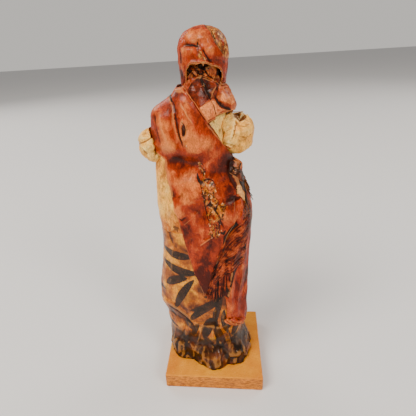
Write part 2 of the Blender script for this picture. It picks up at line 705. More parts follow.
def build_skirt():
    low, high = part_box("skirt")
    foot = low.z / MM
    turn, z = np.meshgrid(np.linspace(-180, 180, 310, endpoint=False),
        np.linspace(foot, high.z / MM + 1.2, 200))
    radius, points, across = body_skin.laid_out(turn, z)
    seen = (np.abs(turn) < 100).astype(float)

    hem = np.exp(-((z - foot) / 22) ** 2)
    relief = 0.8 * facets(points, 15, 3, (1, 1, 0.55)) + 0.25 * facets(points, 6, 8, (1, 1, 0.7))
    relief += hem * (2.4 * facets(points, 12, 21, (1, 1, 0.7)) + 1.6 * facets(points, 6, 33,
        (1, 1, 0.6)))
    relief += 0.08 * soft_noise(points, 2.2, 4, 2)
    relief += seen * folded(across, z, [(-44, 84, 0.5), (-44, 74, 2.2), (-30, 71, 1.6),
        (-19, 61, 1.2), (-40, 62, -1.8), (-28, 60, -1.6), (-24, 50, -1.0), (-38, 45, 0.4),
        (-36, 30, 2.2), (-41, 36, 1.6), (-30, 38, -1.2), (-24, 28, 1.4), (-12, 34, -0.6),
        (-8, 58, 1.4), (-4, 24, 1.8), (3, 40, -1.2), (2, 62, -0.8), (9, 80, 1.8), (9, 56, 1.6),
        (14, 40, -1.0), (16, 26, 1.6), (24, 36, -1.0), (28, 24, 1.8), (20, 56, 0.8),])
    relief += seen * creases(across, z, [(-1.6, 1.2, [(-43, 71), (-32, 68), (-20, 58), (-16, 50)]),
        (0.8, 1.6, [(-43, 76), (-32, 73), (-20, 65)]), (-1.0, 0.9, [(5, 82), (2, 52), (6, 26)]),
        (-0.9, 0.9, [(14, 80), (14, 50), (20, 28)]), (0.8, 1.0, [(-8, 60), (-14, 40), (-19, 24)]),
        (-0.9, 0.9, [(-27, 50), (-33, 34), (-36, 20)]), (0.9, 0.9, [(-37, 48), (-38, 22)]),
        (0.5, 0.9, [(-30, 148), (-34, 120), (-38, 96)]),])
    # The hem is glued flat on the block, so the folds die out at its very foot.
    free = np.clip((z - foot) / 2.0 + 0.45, 0.3, 1)
    radius = radius + np.clip(relief, -3.5, 3.2) * free
    radius += np.exp(-((z - foot) / 3.0) ** 2) * (0.8 + 0.8 * soft_noise(points, 6, 12, 2))
    points = from_turns(turn, z, radius)
    tone = -1.2 * np.exp(-((z - 78) / 30) ** 2) * np.exp(-((across - 12) / 22) ** 2) * seen
    marks = {"fold": ridge_mark(relief, 3.2, 3.2), "leaf": skirt_marks(turn, z, across), "hem": hem,
        "tone": tone}

    material, graph, surface = new_material("leaf_print_paper", 0.5, coat=0.55, coat_roughness=0.17,
        specular=0.12)
    base = use_group(graph, BRUSHED_PAPER, dict(paper_tones((84, 34, 2), (176, 92, 5),
        (230, 156, 28), 70.0, 260.0, 2.2), Tone=graph.mark("tone")))
    place = graph.place()
    stain = graph.span(graph.noise(place, 75.0, 4.0, 0.6), 0.52, 0.7, 0.0, 0.6)
    colour = graph.mix(stain, base["Color"], tint(96, 42, 10))
    leaf = use_group(graph, PAINTED_MARK, {"Distance": graph.mark("leaf"), "Ragged": 1.0,
        "Worn": 0.25})
    ink = graph.mix(graph.span(graph.noise(place, 120.0, 3.0), 0.4, 0.7), tint(22, 10, 5),
        tint(62, 32, 16))
    colour = graph.mix(leaf["Mask"], colour, ink)
    crushed = graph.math("MULTIPLY", graph.mark("hem"),
        graph.span(graph.noise(place, 95.0, 3.0), 0.3, 0.55, 0.7, 1.5))
    pool_noise = graph.noise(place, 60.0, 3.0, 0.5, 0.5)
    pooled = graph.mix(graph.span(pool_noise, 0.45, 0.62), tint(16, 7, 4), tint(84, 34, 12))
    greyed = graph.span(graph.noise(place, 85.0, 2.0), 0.58, 0.68, 0.0, 0.6)
    pooled = graph.mix(greyed, pooled, tint(104, 72, 50))
    colour = graph.mix(graph.math("MULTIPLY", graph.span(crushed, 0.14, 0.34), 0.96), colour,
        pooled)
    finish_worn(graph, surface, colour, tint(216, 146, 70), tint(34, 14, 4), edge=9.0, wear=0.6,
        pool=0.9, fineness=1.0,
        strength=0.3, depth=0.0003)
    flat = {key: value.reshape(-1) for key, value in marks.items()}
    return make_object("skirt_paper", points.reshape(-1, 3), closed_rings(points), material, flat)


skirt = build_skirt()
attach(skirt, "root")
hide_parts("skirt")

# ---------------------------------------------------------------- blouse
# Cream paper over the upper body. Its front and a strip at her left side show
# past the shawl; ochre has run on to it from the skirt.

CREAM = paper_tones((198, 104, 22), (255, 186, 78), (255, 216, 122), 70.0, 320.0, 1.2)


def cream_material(name):
    material, graph, surface = new_material(name, 0.5, coat=0.2, coat_roughness=0.28, specular=0.2)
    base = use_group(graph, BRUSHED_PAPER, dict(CREAM, Tone=graph.mark("tone")))
    grime = graph.span(graph.noise(graph.place(), 110.0, 4.0, 0.6), 0.54, 0.72, 0.0, 0.5)
    colour = graph.mix(grime, base["Color"], tint(176, 106, 40))
    stained = use_group(graph, PAINTED_MARK, {"Distance": graph.mark("stain"), "Ragged": 5.0,
        "Worn": 0.5})
    colour = graph.mix(graph.math("MULTIPLY", stained["Mask"], 0.85), colour, tint(70, 34, 12))
    finish_worn(graph, surface, colour, tint(255, 226, 160), tint(120, 60, 20), edge=9.0, wear=0.8,
        pool=0.8, fineness=1.1,
        strength=0.3, depth=0.0003)
    return material


def build_blouse():
    low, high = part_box("blouse")
    turn, z = np.meshgrid(np.linspace(-180, 180, 226, endpoint=False),
        np.linspace(low.z / MM, high.z / MM, 146))
    radius, points, across = body_skin.laid_out(turn, z)
    relief = 0.8 * facets(points, 13, 53, (1, 1, 0.6)) + 0.35 * facets(points, 6, 58, (1, 1, 0.7))
    relief += 0.08 * soft_noise(points, 2.2, 54, 2)
    # Under the shawl the paper stays down, so the folds fade toward her back.
    by_sleeve = (turn > 4) & (turn < 62) & (z > 222)
    relief = np.where((np.abs(turn) < 45) & ~by_sleeve, np.minimum(relief, 0), relief)
    relief += np.where(by_sleeve, 1.2 * facets(points, 8, 60), 0)
    points = from_turns(turn, z, radius + relief)
    seen = np.abs(turn) < 100
    spot = blot(across, z, [(-31, 158), (-25, 157), (-27, 152), (-30, 154)])
    marks = {
        "fold": ridge_mark(relief, 3, 3),
        "tone": -2.8 * np.exp(-((z - 150) / 13) ** 2) + 2.5 * by_sleeve,
        "stain": np.where(seen, spot, 9.0),
    }
    flat = {key: value.reshape(-1) for key, value in marks.items()}
    return make_object("blouse_paper", points.reshape(-1, 3), closed_rings(points),
        cream_material("cream_paper"), flat)


blouse = build_blouse()
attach(blouse, "root")
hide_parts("blouse")

# ---------------------------------------------------------------- sleeves
# Puffed sleeves of crumpled cream paper, gathered to cuffs in front of her.
# The right one gapes at its top, where the paper was folded over.


def remeshed(name, grain):
    """The points, normals and faces of a CAD node, laid out again as even small squares."""
    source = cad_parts[name]
    copy = bpy.data.objects.new("remesh_copy", source.data.copy())
    bpy.context.collection.objects.link(copy)
    remesh = copy.modifiers.new("even", "REMESH")
    remesh.mode = "VOXEL"
    remesh.voxel_size = grain * MM
    smooth = copy.modifiers.new("soft", "SMOOTH")
    smooth.factor = 0.5
    smooth.iterations = 4
    evaluated = copy.evaluated_get(bpy.context.evaluated_depsgraph_get())
    mesh = bpy.data.meshes.new_from_object(evaluated)
    points = np.empty(len(mesh.vertices) * 3)
    mesh.vertices.foreach_get("co", points)
    normals = np.empty(len(mesh.vertices) * 3)
    mesh.vertices.foreach_get("normal", normals)
    faces = [tuple(face.vertices) for face in mesh.polygons]
    bpy.data.objects.remove(copy)
    bpy.data.meshes.remove(mesh)
    return points.reshape(-1, 3) / MM, normals.reshape(-1, 3), faces


def mesh_blur(values, faces, rounds):
    """Averages point values over their neighbours, round by round."""
    quads = np.array([face if len(face) == 4 else (*face, face[0]) for face in faces])
    starts = np.concatenate([quads[:, i] for i in range(4)])
    ends = np.concatenate([quads[:, (i + 1) % 4] for i in range(4)])
    count = np.bincount(starts, minlength=len(values)) + np.bincount(ends, minlength=len(values))
    for _ in range(rounds):
        total = np.bincount(starts, values[ends], len(values)) + np.bincount(ends, values[starts],
            len(values))
        values = 0.5 * values + 0.5 * total / np.maximum(count, 1)
    return values


def build_sleeve(name, node, seed, plan=None):
    points, normals, faces = remeshed(node, 0.7)
    relief = 2.4 * facets(points, 15, seed, (1, 1, 0.8)) + 0.5 * facets(points, 7.5, seed + 4)
    relief += 0.1 * facets(points, 3, seed + 16) + 0.04 * soft_noise(points, 1.6, seed + 7, 2)
    across = -points[:, 0]
    hollow = np.full(len(points), 9.0)
    if plan:
        behind = normals[:, 1] > -0.3
        relief += np.where(behind, plan["folds"](across, points[:, 2]), 0)
        hollow = np.where(behind, plan["gape"](across, points[:, 2]), 9.0)
        relief -= 3.0 * np.clip(-hollow / 1.6, 0, 1)
    fold = relief - mesh_blur(relief, faces, 14)
    points = points + normals * (relief - 0.3)[:, None]
    marks = {"fold": fold, "tone": 0.5 * mesh_blur(relief, faces, 6) + 0.4, "stain": hollow}
    return make_object(name, points, faces, cream_material(name), marks)


SLEEVE_RIGHT_PLAN = {
    "folds": lambda across, z: folded(across, z, [
        (8, 244, 0.4), (14, 246, 1.2), (21, 242, 1.6), (19, 228, 1.0), (12, 231, 0.2),
        (22.5, 238, 0.2), (31, 240, 0.6), (20.5, 232, 0.6), (28, 233, 2.0), (36, 234, 1.4),
        (25, 225, -1.0), (33, 226, -0.8), (24, 218, 0.8), (17, 222, 0.8), (19, 216, 2.0),
        (38, 228, 0.2), (30, 216, 0.8),
    ], 8) + laps(across, z, [
        (1.8, 4.0, [(22.4, 242.5), (21.2, 237), (20, 231), (18.4, 226)]),
    ]) + creases(across, z, [
        (-1.0, 0.7, [(17, 228), (14.5, 225.5), (17, 223.5), (21, 222)]),
        (0.9, 0.6, [(24, 243), (31, 244.4), (35, 240)]),
        (-0.8, 0.5, [(24, 237), (29, 236), (34, 238)]),
        (-0.8, 0.5, [(25, 229), (30, 228), (36, 230)]),
        (0.7, 0.5, [(20, 224), (26, 221), (32, 221)]),
    ]),
    "gape": lambda across, z: blot(across, z, [
        (18.5, 246.5), (21, 242), (25, 239.6), (32, 242.6), (31, 245.4), (27, 244.6), (23, 247.6),
    ]),
}

sleeve_right = build_sleeve("sleeve_right_paper", "sleeve_right", 70, SLEEVE_RIGHT_PLAN)
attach(sleeve_right, "root")
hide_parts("sleeve_right")
SLEEVE_LEFT_PLAN = {
    "folds": lambda across, z: creases(across, z, [
        (-1.6, 0.7, [(-58, 220), (-53, 225), (-47, 227), (-40, 231)]),
        (1.2, 0.8, [(-57, 225), (-51, 229), (-45, 229.5)]),
        (0.8, 0.9, [(-54, 219), (-48, 221), (-42, 225)]),
        (-0.9, 0.6, [(-52, 214), (-47, 212), (-43, 207)]),
    ]),
    "gape": lambda across, z: line_distance(across, z, [
        (-58, 221), (-55, 223.4), (-51, 225.4),
    ])[0] - 0.2,
}
sleeve_left = build_sleeve("sleeve_left_paper", "sleeve_left", 90, SLEEVE_LEFT_PLAN)
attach(sleeve_left, "root")
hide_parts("sleeve_left")

# ---------------------------------------------------------------- head and hands
# Painted paper pulp, smoother than the clothes. The face is plain and calm,
# with painted eyes, brows and lips, and dark hair parted under the hood.

FACE_MIDDLE = 0.3
HAIR_LINE, BROW, EYE_LINE = 293.6, 287.4, 285.0
NOSE_FOOT, LIP_LINE, CHIN = 279.0, 275.4, 270.6
EYE_APART, EYE_WIDE, EYE_HIGH = 4.4, 2.3, 1.15


def smooth_step(value):
    value = np.clip(value, 0, 1)
    return value * value * (3 - 2 * value)


def bump_at(x, z, middle_x, middle_z, wide, high):
    return np.exp(-((x - middle_x) / wide) ** 2 - ((z - middle_z) / high) ** 2)


def face_relief(x, z):
    """How far the face stands out, from its own proportions, the same on both sides."""
    x = np.abs(x - FACE_MIDDLE)
    nose = np.clip((BROW - z) / (BROW - NOSE_FOOT), 0, 1) * np.clip((z - NOSE_FOOT + 0.8) / 0.9, 0,
        1)
    relief = 2.3 * nose * np.exp(-(x / (0.9 + 0.5 * nose)) ** 2)
    relief += 0.5 * bump_at(x, z, 1.2, NOSE_FOOT + 0.6, 0.6, 0.7)
    relief -= 1.1 * bump_at(x, z, EYE_APART, EYE_LINE, 2.5, 1.9)
    relief += 0.75 * bump_at(x, z, EYE_APART, EYE_LINE - 0.1, 1.6, 0.95)
    relief += 0.35 * bump_at(x, z, EYE_APART, BROW + 0.1, 3.0, 0.8)
    relief += 0.6 * bump_at(x, z, 0, LIP_LINE + 0.75, 2.3, 0.65) + 0.7 * bump_at(x, z, 0,
        LIP_LINE - 0.85, 1.9, 0.75)
    relief -= 0.55 * bump_at(x, z, 0, LIP_LINE, 2.5, 0.28) + 0.2 * bump_at(x, z, 0, LIP_LINE + 2.0,
        0.5, 0.9)
    relief += 0.7 * bump_at(x, z, 0, CHIN + 0.8, 2.4, 1.7) - 0.35 * bump_at(x, z, 0, LIP_LINE - 2.5,
        2.2, 0.7)
    relief += 0.4 * bump_at(x, z, 5.2, NOSE_FOOT + 1.6, 2.8, 2.6)
    jaw = CHIN - 1.6 + 0.05 * x ** 2
    return relief - 2.2 * smooth_step((jaw - z) / 1.6)


def face_paint(x, z, front):
    """Distances, in millimetres, to each painted part of the face. Below nothing is inside."""
    side = np.abs(x - FACE_MIDDLE)
    away = (side - EYE_APART) / EYE_WIDE
    lid = EYE_HIGH * (1 - away * away)
    eye = np.abs(z - EYE_LINE) - lid
    iris = np.hypot(side - EYE_APART, z - EYE_LINE - 0.05) - 0.75
    lashes = np.abs(z - EYE_LINE - np.maximum(lid, -0.2)) - 0.2 + 4 * np.clip(np.abs(away) - 1.08,
        0, 1)
    brow = np.abs(z - BROW - 0.7 + 0.55 * away * away) - 0.36 + 3 * np.clip(np.abs(away) - 1.25, 0,
        1)
    upper = LIP_LINE + 1.15 * (1 - (side / 2.7) ** 2) - 0.25 * np.exp(-(side / 0.5) ** 2)
    lower = LIP_LINE - 1.35 * (1 - (side / 2.4) ** 2)
    lips = np.maximum(z - upper, lower - z)
    parting = np.abs(z - LIP_LINE) - 0.13 + 4 * np.clip(side - 2.5, 0, 1)
    hair_edge = HAIR_LINE - 0.115 * side ** 2
    hair = np.minimum(hair_edge - z, 9)
    return {
        "eye": np.where(front, eye, 9.0), "iris": np.where(front, np.maximum(iris, eye), 9.0),
        "line": np.where(front, np.minimum(np.minimum(lashes, brow), parting), 9.0),
        "lip": np.where(front, lips, 9.0), "hair": hair,
    }


def skin_material(name, painted=False):
    material, graph, surface = new_material(name, 0.5, coat=0.2, coat_roughness=0.28, specular=0.2)
    base = use_group(graph, BRUSHED_PAPER, dict(paper_tones((156, 74, 30), (212, 128, 68),
        (236, 166, 104), 90.0, 260.0, 0.8), Tone=graph.mark("tone")))
    colour = base["Color"]
    if painted:
        for mark, paint, rag in (("eye", tint(232, 214, 176), 0.1), ("iris", tint(48, 22, 10), 0.1),
                                 ("lip", tint(160, 46, 26), 0.3), ("line", tint(44, 20, 10), 0.15)):
            spot = use_group(graph, PAINTED_MARK,
                {"Distance": graph.mark(mark), "Ragged": rag, "Worn": 0.12})
            colour = graph.mix(spot["Mask"], colour, paint)
        strand = graph.noise(graph.place((1.0, 1.0, 0.3)), 900.0, 4.0, 0.6)
        locks = graph.mix(graph.span(strand, 0.42, 0.62), tint(22, 10, 5), tint(86, 44, 20))
        hair = use_group(graph, PAINTED_MARK, {"Distance": graph.mark("hair"), "Ragged": 0.7,
            "Worn": 0.1})
        colour = graph.mix(hair["Mask"], colour, locks)
    finish_worn(graph, surface, colour, tint(244, 190, 132), tint(96, 40, 16), edge=9.0, wear=0.5,
        pool=0.7, fineness=1.3,
        strength=0.25, depth=0.0002)
    return material


def build_head():
    points, normals, faces = remeshed("head", 0.36)
    x, z = points[:, 0], points[:, 2]
    front = normals[:, 1] < -0.15
    facing = np.clip((-normals[:, 1] - 0.15) / 0.3, 0, 1)
    # The face is smoothed first, so its own forms alone show.
    depth = points[:, 1].copy()
    points[:, 1] = np.where(front, mesh_blur(depth, faces, 30), depth)
    paint = face_paint(x, z, front)
    side = np.abs(x - FACE_MIDDLE)
    in_hair = smooth_step(-paint["hair"] / 0.6)
    wave = np.sin(2.6 * side + 0.9 * (z - HAIR_LINE) + 0.6 * np.sin(0.5 * z))
    relief = facing * face_relief(x, z) * (1 - in_hair) + in_hair * (0.45 + 0.28 * wave)
    relief += 0.06 * soft_noise(points, 1.8, 3, 2)
    points = points + normals * relief[:, None]
    blush = 1.2 * bump_at(side, z, 5.4, NOSE_FOOT + 1.4, 2.2, 2.0) * front
    marks = dict(paint, tone=0.3 - blush, fold=0.5 * (relief - mesh_blur(relief, faces, 12)))
    return make_object("head_pulp", points, faces, skin_material("face_paint", True), marks)


def build_pulp(name, node, grain, seed):
    """A hand: the fingers are parted by grooves, and the nails are left bare."""
    points, normals, faces = remeshed(node, grain)
    low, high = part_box(node)
    rise = (points[:, 2] - low.z / MM) / (high.z / MM - low.z / MM)
    fingers = np.abs(np.mod(rise * 4, 1) - 0.5) * 2
    inner_x = high.x if seed == 5 else low.x
    reach = 1 - np.clip(np.abs(points[:, 0] - inner_x / MM) / 9.5, 0, 1)
    relief = -0.7 * smooth_step(reach * 1.6) * smooth_step((fingers - 0.7) / 0.3)
    relief += 0.12 * soft_noise(points, 3.0, seed, 3)
    fold = relief - mesh_blur(relief, faces, 10)
    points = points + normals * relief[:, None]
    marks = {"tone": np.full(len(points), 0.2), "fold": fold}
    return make_object(name, points, faces, skin_material(name), marks)


head = build_head()
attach(head, "root")
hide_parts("head")
hand_right = build_pulp("hand_right_pulp", "hand_right", 0.35, 5)
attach(hand_right, "root")
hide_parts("hand_right")
hand_left = build_pulp("hand_left_pulp", "hand_left", 0.35, 6)
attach(hand_left, "root")
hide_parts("hand_left")

# ---------------------------------------------------------------- shawl end
# The shawl is several sheets of red-brown paper pasted over one another. This
# one hangs from under the right sleeve to below the knee. Its top is torn into
# dark flakes, and it is smooth and fluted lower down.

SHAWL = paper_tones((70, 11, 2), (164, 50, 12), (210, 112, 50), 60.0, 280.0, 1.5)


def shawl_material(name, colours=None, print_colours=None):
    """Varnished shawl paper, with printed scraps where the print mark is below nothing."""
    material, graph, surface = new_material(name, 0.55, coat=0.3, coat_roughness=0.24,
        specular=0.12)
    base = use_group(graph, BRUSHED_PAPER, dict(colours or SHAWL, Tone=graph.mark("tone")))
    colour = base["Color"]
    place = graph.place()
    if print_colours:
        ground, dark, pale = print_colours
        tall = graph.place((1.0, 1.0, 0.5))
        flow = graph.noise(tall, 120.0, 5.0, 0.7, 2.6)
        glints = graph.noise(place, 240.0, 4.0, 0.7, 1.6)
        scraps = graph.mix(graph.span(flow, 0.48, 0.54), dark, ground)
        scraps = graph.mix(graph.span(glints, 0.57, 0.62), scraps, pale)
        scraps = graph.mix(graph.span(glints, 0.45, 0.41), scraps, dark)
        inside = use_group(graph, PAINTED_MARK,
            {"Distance": graph.mark("print"), "Ragged": 7.0, "Worn": 0.6})
        left = graph.span(graph.noise(tall, 160.0, 4.0, 0.7, 1.8), 0.42, 0.5)
        colour = graph.mix(graph.math("MULTIPLY", inside["Mask"], left), colour, scraps)
    ink = use_group(graph, PAINTED_MARK, {"Distance": graph.mark("ink"), "Ragged": 0.9,
        "Worn": 0.2})
    colour = graph.mix(ink["Mask"], colour, tint(28, 10, 5))
    finish_worn(graph, surface, colour, tint(234, 150, 84), tint(40, 6, 1), edge=graph.mark("edge"),
        wear=0.8, pool=1.0, fineness=1.0,
        strength=0.6, depth=0.0005)
    return material


def table(stops):
    """A straight-line table by height: stops are [height, value]."""
    heights = [stop[0] for stop in stops]
    values = [stop[1] for stop in stops]
    return lambda z: np.interp(z, heights, values)


def edge_turns(skin, stops):
    """The turns of an edge line whose stops are [height, distance across her back]."""
    line = table(stops)
    heights = np.linspace(stops[0][0], stops[-1][0], 80)
    turns = [skin.turn_across(line(z), z) for z in heights]
    return lambda z: np.interp(z, heights, turns)


def paste_grid(left, right, low, high, rows, columns):
    """Turns and heights of a sheet between two side lines and two end lines."""
    v, u = np.meshgrid(np.linspace(0, 1, rows), np.linspace(0, 1, columns), indexing="ij")
    z = low(u) + v * (high(u) - low(u))
    turn = left(z) + u * (right(z) - left(z))
    return turn, z, u


def edge_distances(turn, z, radius):
    arc = math.radians(1) * radius
    return {
        "left": (turn - turn[:, :1]) * arc, "right": (turn[:, -1:] - turn) * arc,
        "low": z - z[:1], "high": z[-1:] - z,
    }


laid = [skirt, blouse, sleeve_right, sleeve_left]


def lay_sheet(name, turn, z, radius, relief, material, thickness, marks, drop=4.0, lift=0.75,
        worn=None, clear=None,
              calm=1.0):
    """Pastes a sheet over what is laid already. Its edges thin out and lie down on what is below."""
    distances = edge_distances(turn, z, radius)
    nearest = np.minimum.reduce(list(distances.values()))
    free = np.minimum.reduce([distances[side] for side in (worn or distances)])
    below = radius_at(surface_tree(*[piece for piece in laid if piece is not clear]), turn, z, 0.0)
    inside = smooth_step(nearest / drop)
    own = radius + relief
    top = inside * own + (1 - inside) * (np.where(below > 0, below, own - thickness) + lift)
    top = np.maximum(top, below + 0.45)
    depth = 0.6 + (thickness - 0.6) * inside
    outer = from_turns(turn, z, top)
    inner = from_turns(turn, z, top - depth)
    rows, columns = turn.shape
    face_up = np.arange(rows * columns).reshape(rows, columns)
    face_down = face_up + rows * columns
    faces = []
    for side in (face_up, face_down):
        quads = np.stack([side[:-1, :-1], side[1:, :-1], side[1:, 1:], side[:-1, 1:]], axis=-1)
        faces.extend(quads.reshape(-1, 4).tolist())
    for cut in (np.s_[0, :], np.s_[-1, :], np.s_[:, 0], np.s_[:, -1]):
        a, b = face_up[cut], face_down[cut]
        faces.extend([a[i], a[i + 1], b[i + 1], b[i]] for i in range(len(a) - 1))
    values = {"edge": free, "ink": np.full(turn.shape, 9.0), "print": np.full(turn.shape, 9.0)}
    values["fold"] = ridge_mark(top - radius, 3, 3, False) * calm
    values["tone"] = np.zeros(turn.shape)
    values.update(marks)
    doubled = {key: np.concatenate([value.reshape(-1)] * 2) for key, value in values.items()}
    points = np.concatenate([outer.reshape(-1, 3), inner.reshape(-1, 3)])
    sheet = make_object(name, points, faces, material, doubled)
    laid.append(sheet)
    return sheet


def zone(across, z, spots):
    """Broad light and dark areas: each is (amount, across, z, half width, half height)."""
    total = np.zeros(across.shape)
    for amount, x, y, wide, high in spots:
        total += amount * np.exp(-((across - x) / wide) ** 2 - ((z - y) / high) ** 2)
    return total


def ragged(values, z, seed, size=0.5):
    """Shifts an edge in and out a little along its length."""
    points = np.stack([np.zeros(z.shape), np.zeros(z.shape), z], axis=-1)
    return values + size * soft_noise(points, 3.0, seed, 3)


back_skin = Skin("shawl_back")
end_skin = Skin("shawl_end", "shawl_shoulder")

END_LOW, END_TOP = 65, 213
END_DROP = 15
end_inner = edge_turns(end_skin, [[50, 13], [65, 13.5], [76, 13.6], [100, 14], [129, 16], [142, 22],
    [158, 25], [168, 23], [186, 24], [198, 21.5], [213, 16.5],])
end_outer = table([[50, 92], [65, 98], [90, 120], [150, 140], [213, 126]])


def build_end():
    turn, z, u = paste_grid(
        lambda z: ragged(end_inner(z), z, 5, 0.6), lambda z: ragged(end_outer(z), z, 9, 1.2),
        lambda u: END_LOW - END_DROP * np.minimum(1.4 * u, 1) + 1.2 * np.sin(31 * u) * u,
        lambda u: END_TOP + 1.5 * np.sin(23 * u) + 0 * u, 230, 128,
    )
    radius, points, across = end_skin.laid_out(turn, z)
    relief = 0.9 * facets(points, 14, 163, (1, 1, 0.4)) + 0.35 * facets(points, 6, 168, (1, 1, 0.5))
    flutes = smooth_step((175 - z) / 60)
    relief += flutes * 0.7 * np.cos(np.radians(turn) * 9 + 0.02 * z + 0.8 * np.sin(z / 21))
    relief += smooth_step((z - 150) / 30) * 0.6 * facets(points, 5, 169, (1.2, 1.2, 0.45))
    relief += creases(across, z, [(-0.9, 0.8, [(19, 207), (23.5, 196), (25, 186), (24, 178)]),
        (-0.8, 0.9, [(24, 150), (24, 110), (20, 74)]), (0.7, 1.0, [(27, 148), (27, 108), (23, 76)]),
        (-0.7, 0.8, [(30, 140), (30, 104), (27, 78)]), (0.8, 0.9, [(20, 120), (17, 96), (18, 72)]),
        (-0.9, 1.0, [(31, 178), (33, 160), (31, 140)]),])
    tone = zone(across, z, [(-2.5, 30, 198, 14, 14), (1.5, 27, 176, 4, 8), (0.4, 19, 100, 3.5, 12),
        (1.2, 26, 92, 4, 16), (-1.0, 23, 100, 2.5, 24), (-1.2, 33, 120, 6, 40), (1.0, 19, 76, 5, 6),
        ])
    turned_dark = blot(across, z, [(17, 216), (24, 206), (30, 192), (33, 182), (40, 184), (40, 216),
        ])
    hatch = np.abs(np.mod((z - 0.9 * across) / 2.6, 1) - 0.5) * 2.6
    hatched = blot(across, z, [(26, 182), (32, 184), (38, 160), (36, 146), (29, 152), (26, 168)])
    ink = np.where(hatched < 0, np.minimum(hatch - 0.25 + 0.25 * soft_noise(points, 4, 3), 9), 9.0)
    ink = np.minimum(ink, line_distance(across, z, [(19, 207), (23.5, 196), (25.2, 186)])[0] - 0.4)
    ink = np.where((np.abs(turn) < 90) | (turn > 0), ink, 9.0)
    marks = {"tone": tone, "print": np.minimum(turned_dark, hatched + 1.0), "ink": ink}
    material = shawl_material("end_paper", paper_tones((66, 10, 2), (158, 42, 10), (212, 100, 40),
        50.0, 240.0, 1.5), (tint(112, 56, 22), tint(36, 18, 11), tint(160, 98, 50)))
    calm = np.where(u < 0.25, 0.2, np.where(z > 175, 0.5, 1.0))
    return lay_sheet("shawl_hanging_end", turn, z, radius, relief, material, 2.2, marks,
        worn=("low",), calm=calm)


hanging_end = build_end()
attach(hanging_end, "root")
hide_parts("shawl_end")

# Torn slivers curl up along the top of the hanging end: place, lean, length,
# half width, lift at the tip, tone.
SLIVERS = [
    (17.5, 213, -62, 13, 1.2, 0.8, -3.0), (20, 210, -66, 16, 1.4, 1.4, -2.0),
    (22.6, 208, -70, 18, 1.5, 2.0, -3.2), (26, 208, -66, 15, 1.4, 2.6, -2.4),
    (24.4, 200, -76, 18, 1.2, 1.2, -3.4), (28.6, 202, -74, 17, 1.5, 2.6, -2.0),
    (30.6, 195, -80, 17, 1.4, 2.2, -3.0), (25.4, 193, -80, 15, 1.5, 0.8, 4.0),
    (33, 189, -84, 14, 1.1, 1.8, -2.0), (34, 200, -80, 17, 1.4, 2.4, -2.6),
    (22, 197, -82, 13, 0.8, 0.9, -3.4), (29, 184, -84, 13, 0.9, 1.0, -2.4),
]


def turns_for(skin, across, z):
    """The turns at which points on a skin stand given distances across her back."""
    turn = np.degrees(np.arcsin(np.clip(across / 40, -0.97, 0.97)))
    for _ in range(4):
        turn = np.degrees(np.arcsin(np.clip(across / skin.radius(turn, z), -0.985, 0.985)))
    return turn


def build_slivers():
    tree = surface_tree(*laid)
    points = []
    faces = []
    tones = []
    edges = []
    t, s = np.meshgrid(np.linspace(0, 1, 16), np.linspace(-1, 1, 7), indexing="ij")
    for number, (across, z, lean, length, width, lift, tone) in enumerate(SLIVERS):
        way = np.array((math.cos(math.radians(lean)), math.sin(math.radians(lean))))
        bend = 1.2 * math.sin(3 * number + 1)
        profile = np.sin(np.pi * np.clip(0.12 + 0.88 * t, 0, 1)) ** 0.7 + 0.12
        aside = s * width * profile + bend * t * t + 0.3 * soft_noise(np.stack([t * 6, s,
            s * 0 + number], -1), 1.5, 5)
        x = across + way[0] * t * length - way[1] * aside
        y = z + way[1] * t * length + way[0] * aside
        turn = turns_for(end_skin, x, y)
        ground = radius_at(tree, turn, y, 0.0)
        ground = np.where(ground > 0, ground, end_skin.radius(turn, y))
        curl = lift * t ** 2 + 0.5 * (1 - s * s) * t + 0.25
        outer = from_turns(turn, y, ground + curl + 0.3)
        inner = from_turns(turn, y, ground + curl - 0.1)
        rings = np.concatenate([outer, inner[:, ::-1]], axis=1)
        first = len(points)
        points.extend(rings.reshape(-1, 3))
        faces.extend([first + i for i in face] for face in closed_rings(rings))
        tones.extend([tone] * rings.shape[0] * rings.shape[1])
        rim = (1 - np.abs(s)) * width
        edges.extend(np.concatenate([rim, rim[:, ::-1]], axis=1).reshape(-1))
    count = len(points)
    marks = {"tone": np.array(tones), "edge": 2 * np.array(edges) + 0.25,
        "ink": np.full(count, 9.0), "print": np.full(count, 9.0), "fold": np.zeros(count)}
    colours = paper_tones((34, 16, 9), (130, 56, 22), (232, 168, 96), 90.0, 320.0, 1.2)
    return make_object("torn_slivers", np.array(points), faces,
        shawl_material("sliver_paper", colours), marks)


slivers = build_slivers()
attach(slivers, "root")

# ---------------------------------------------------------------- neck band
# A pleated scrap of dark printed paper, pasted up under the hood's arch.


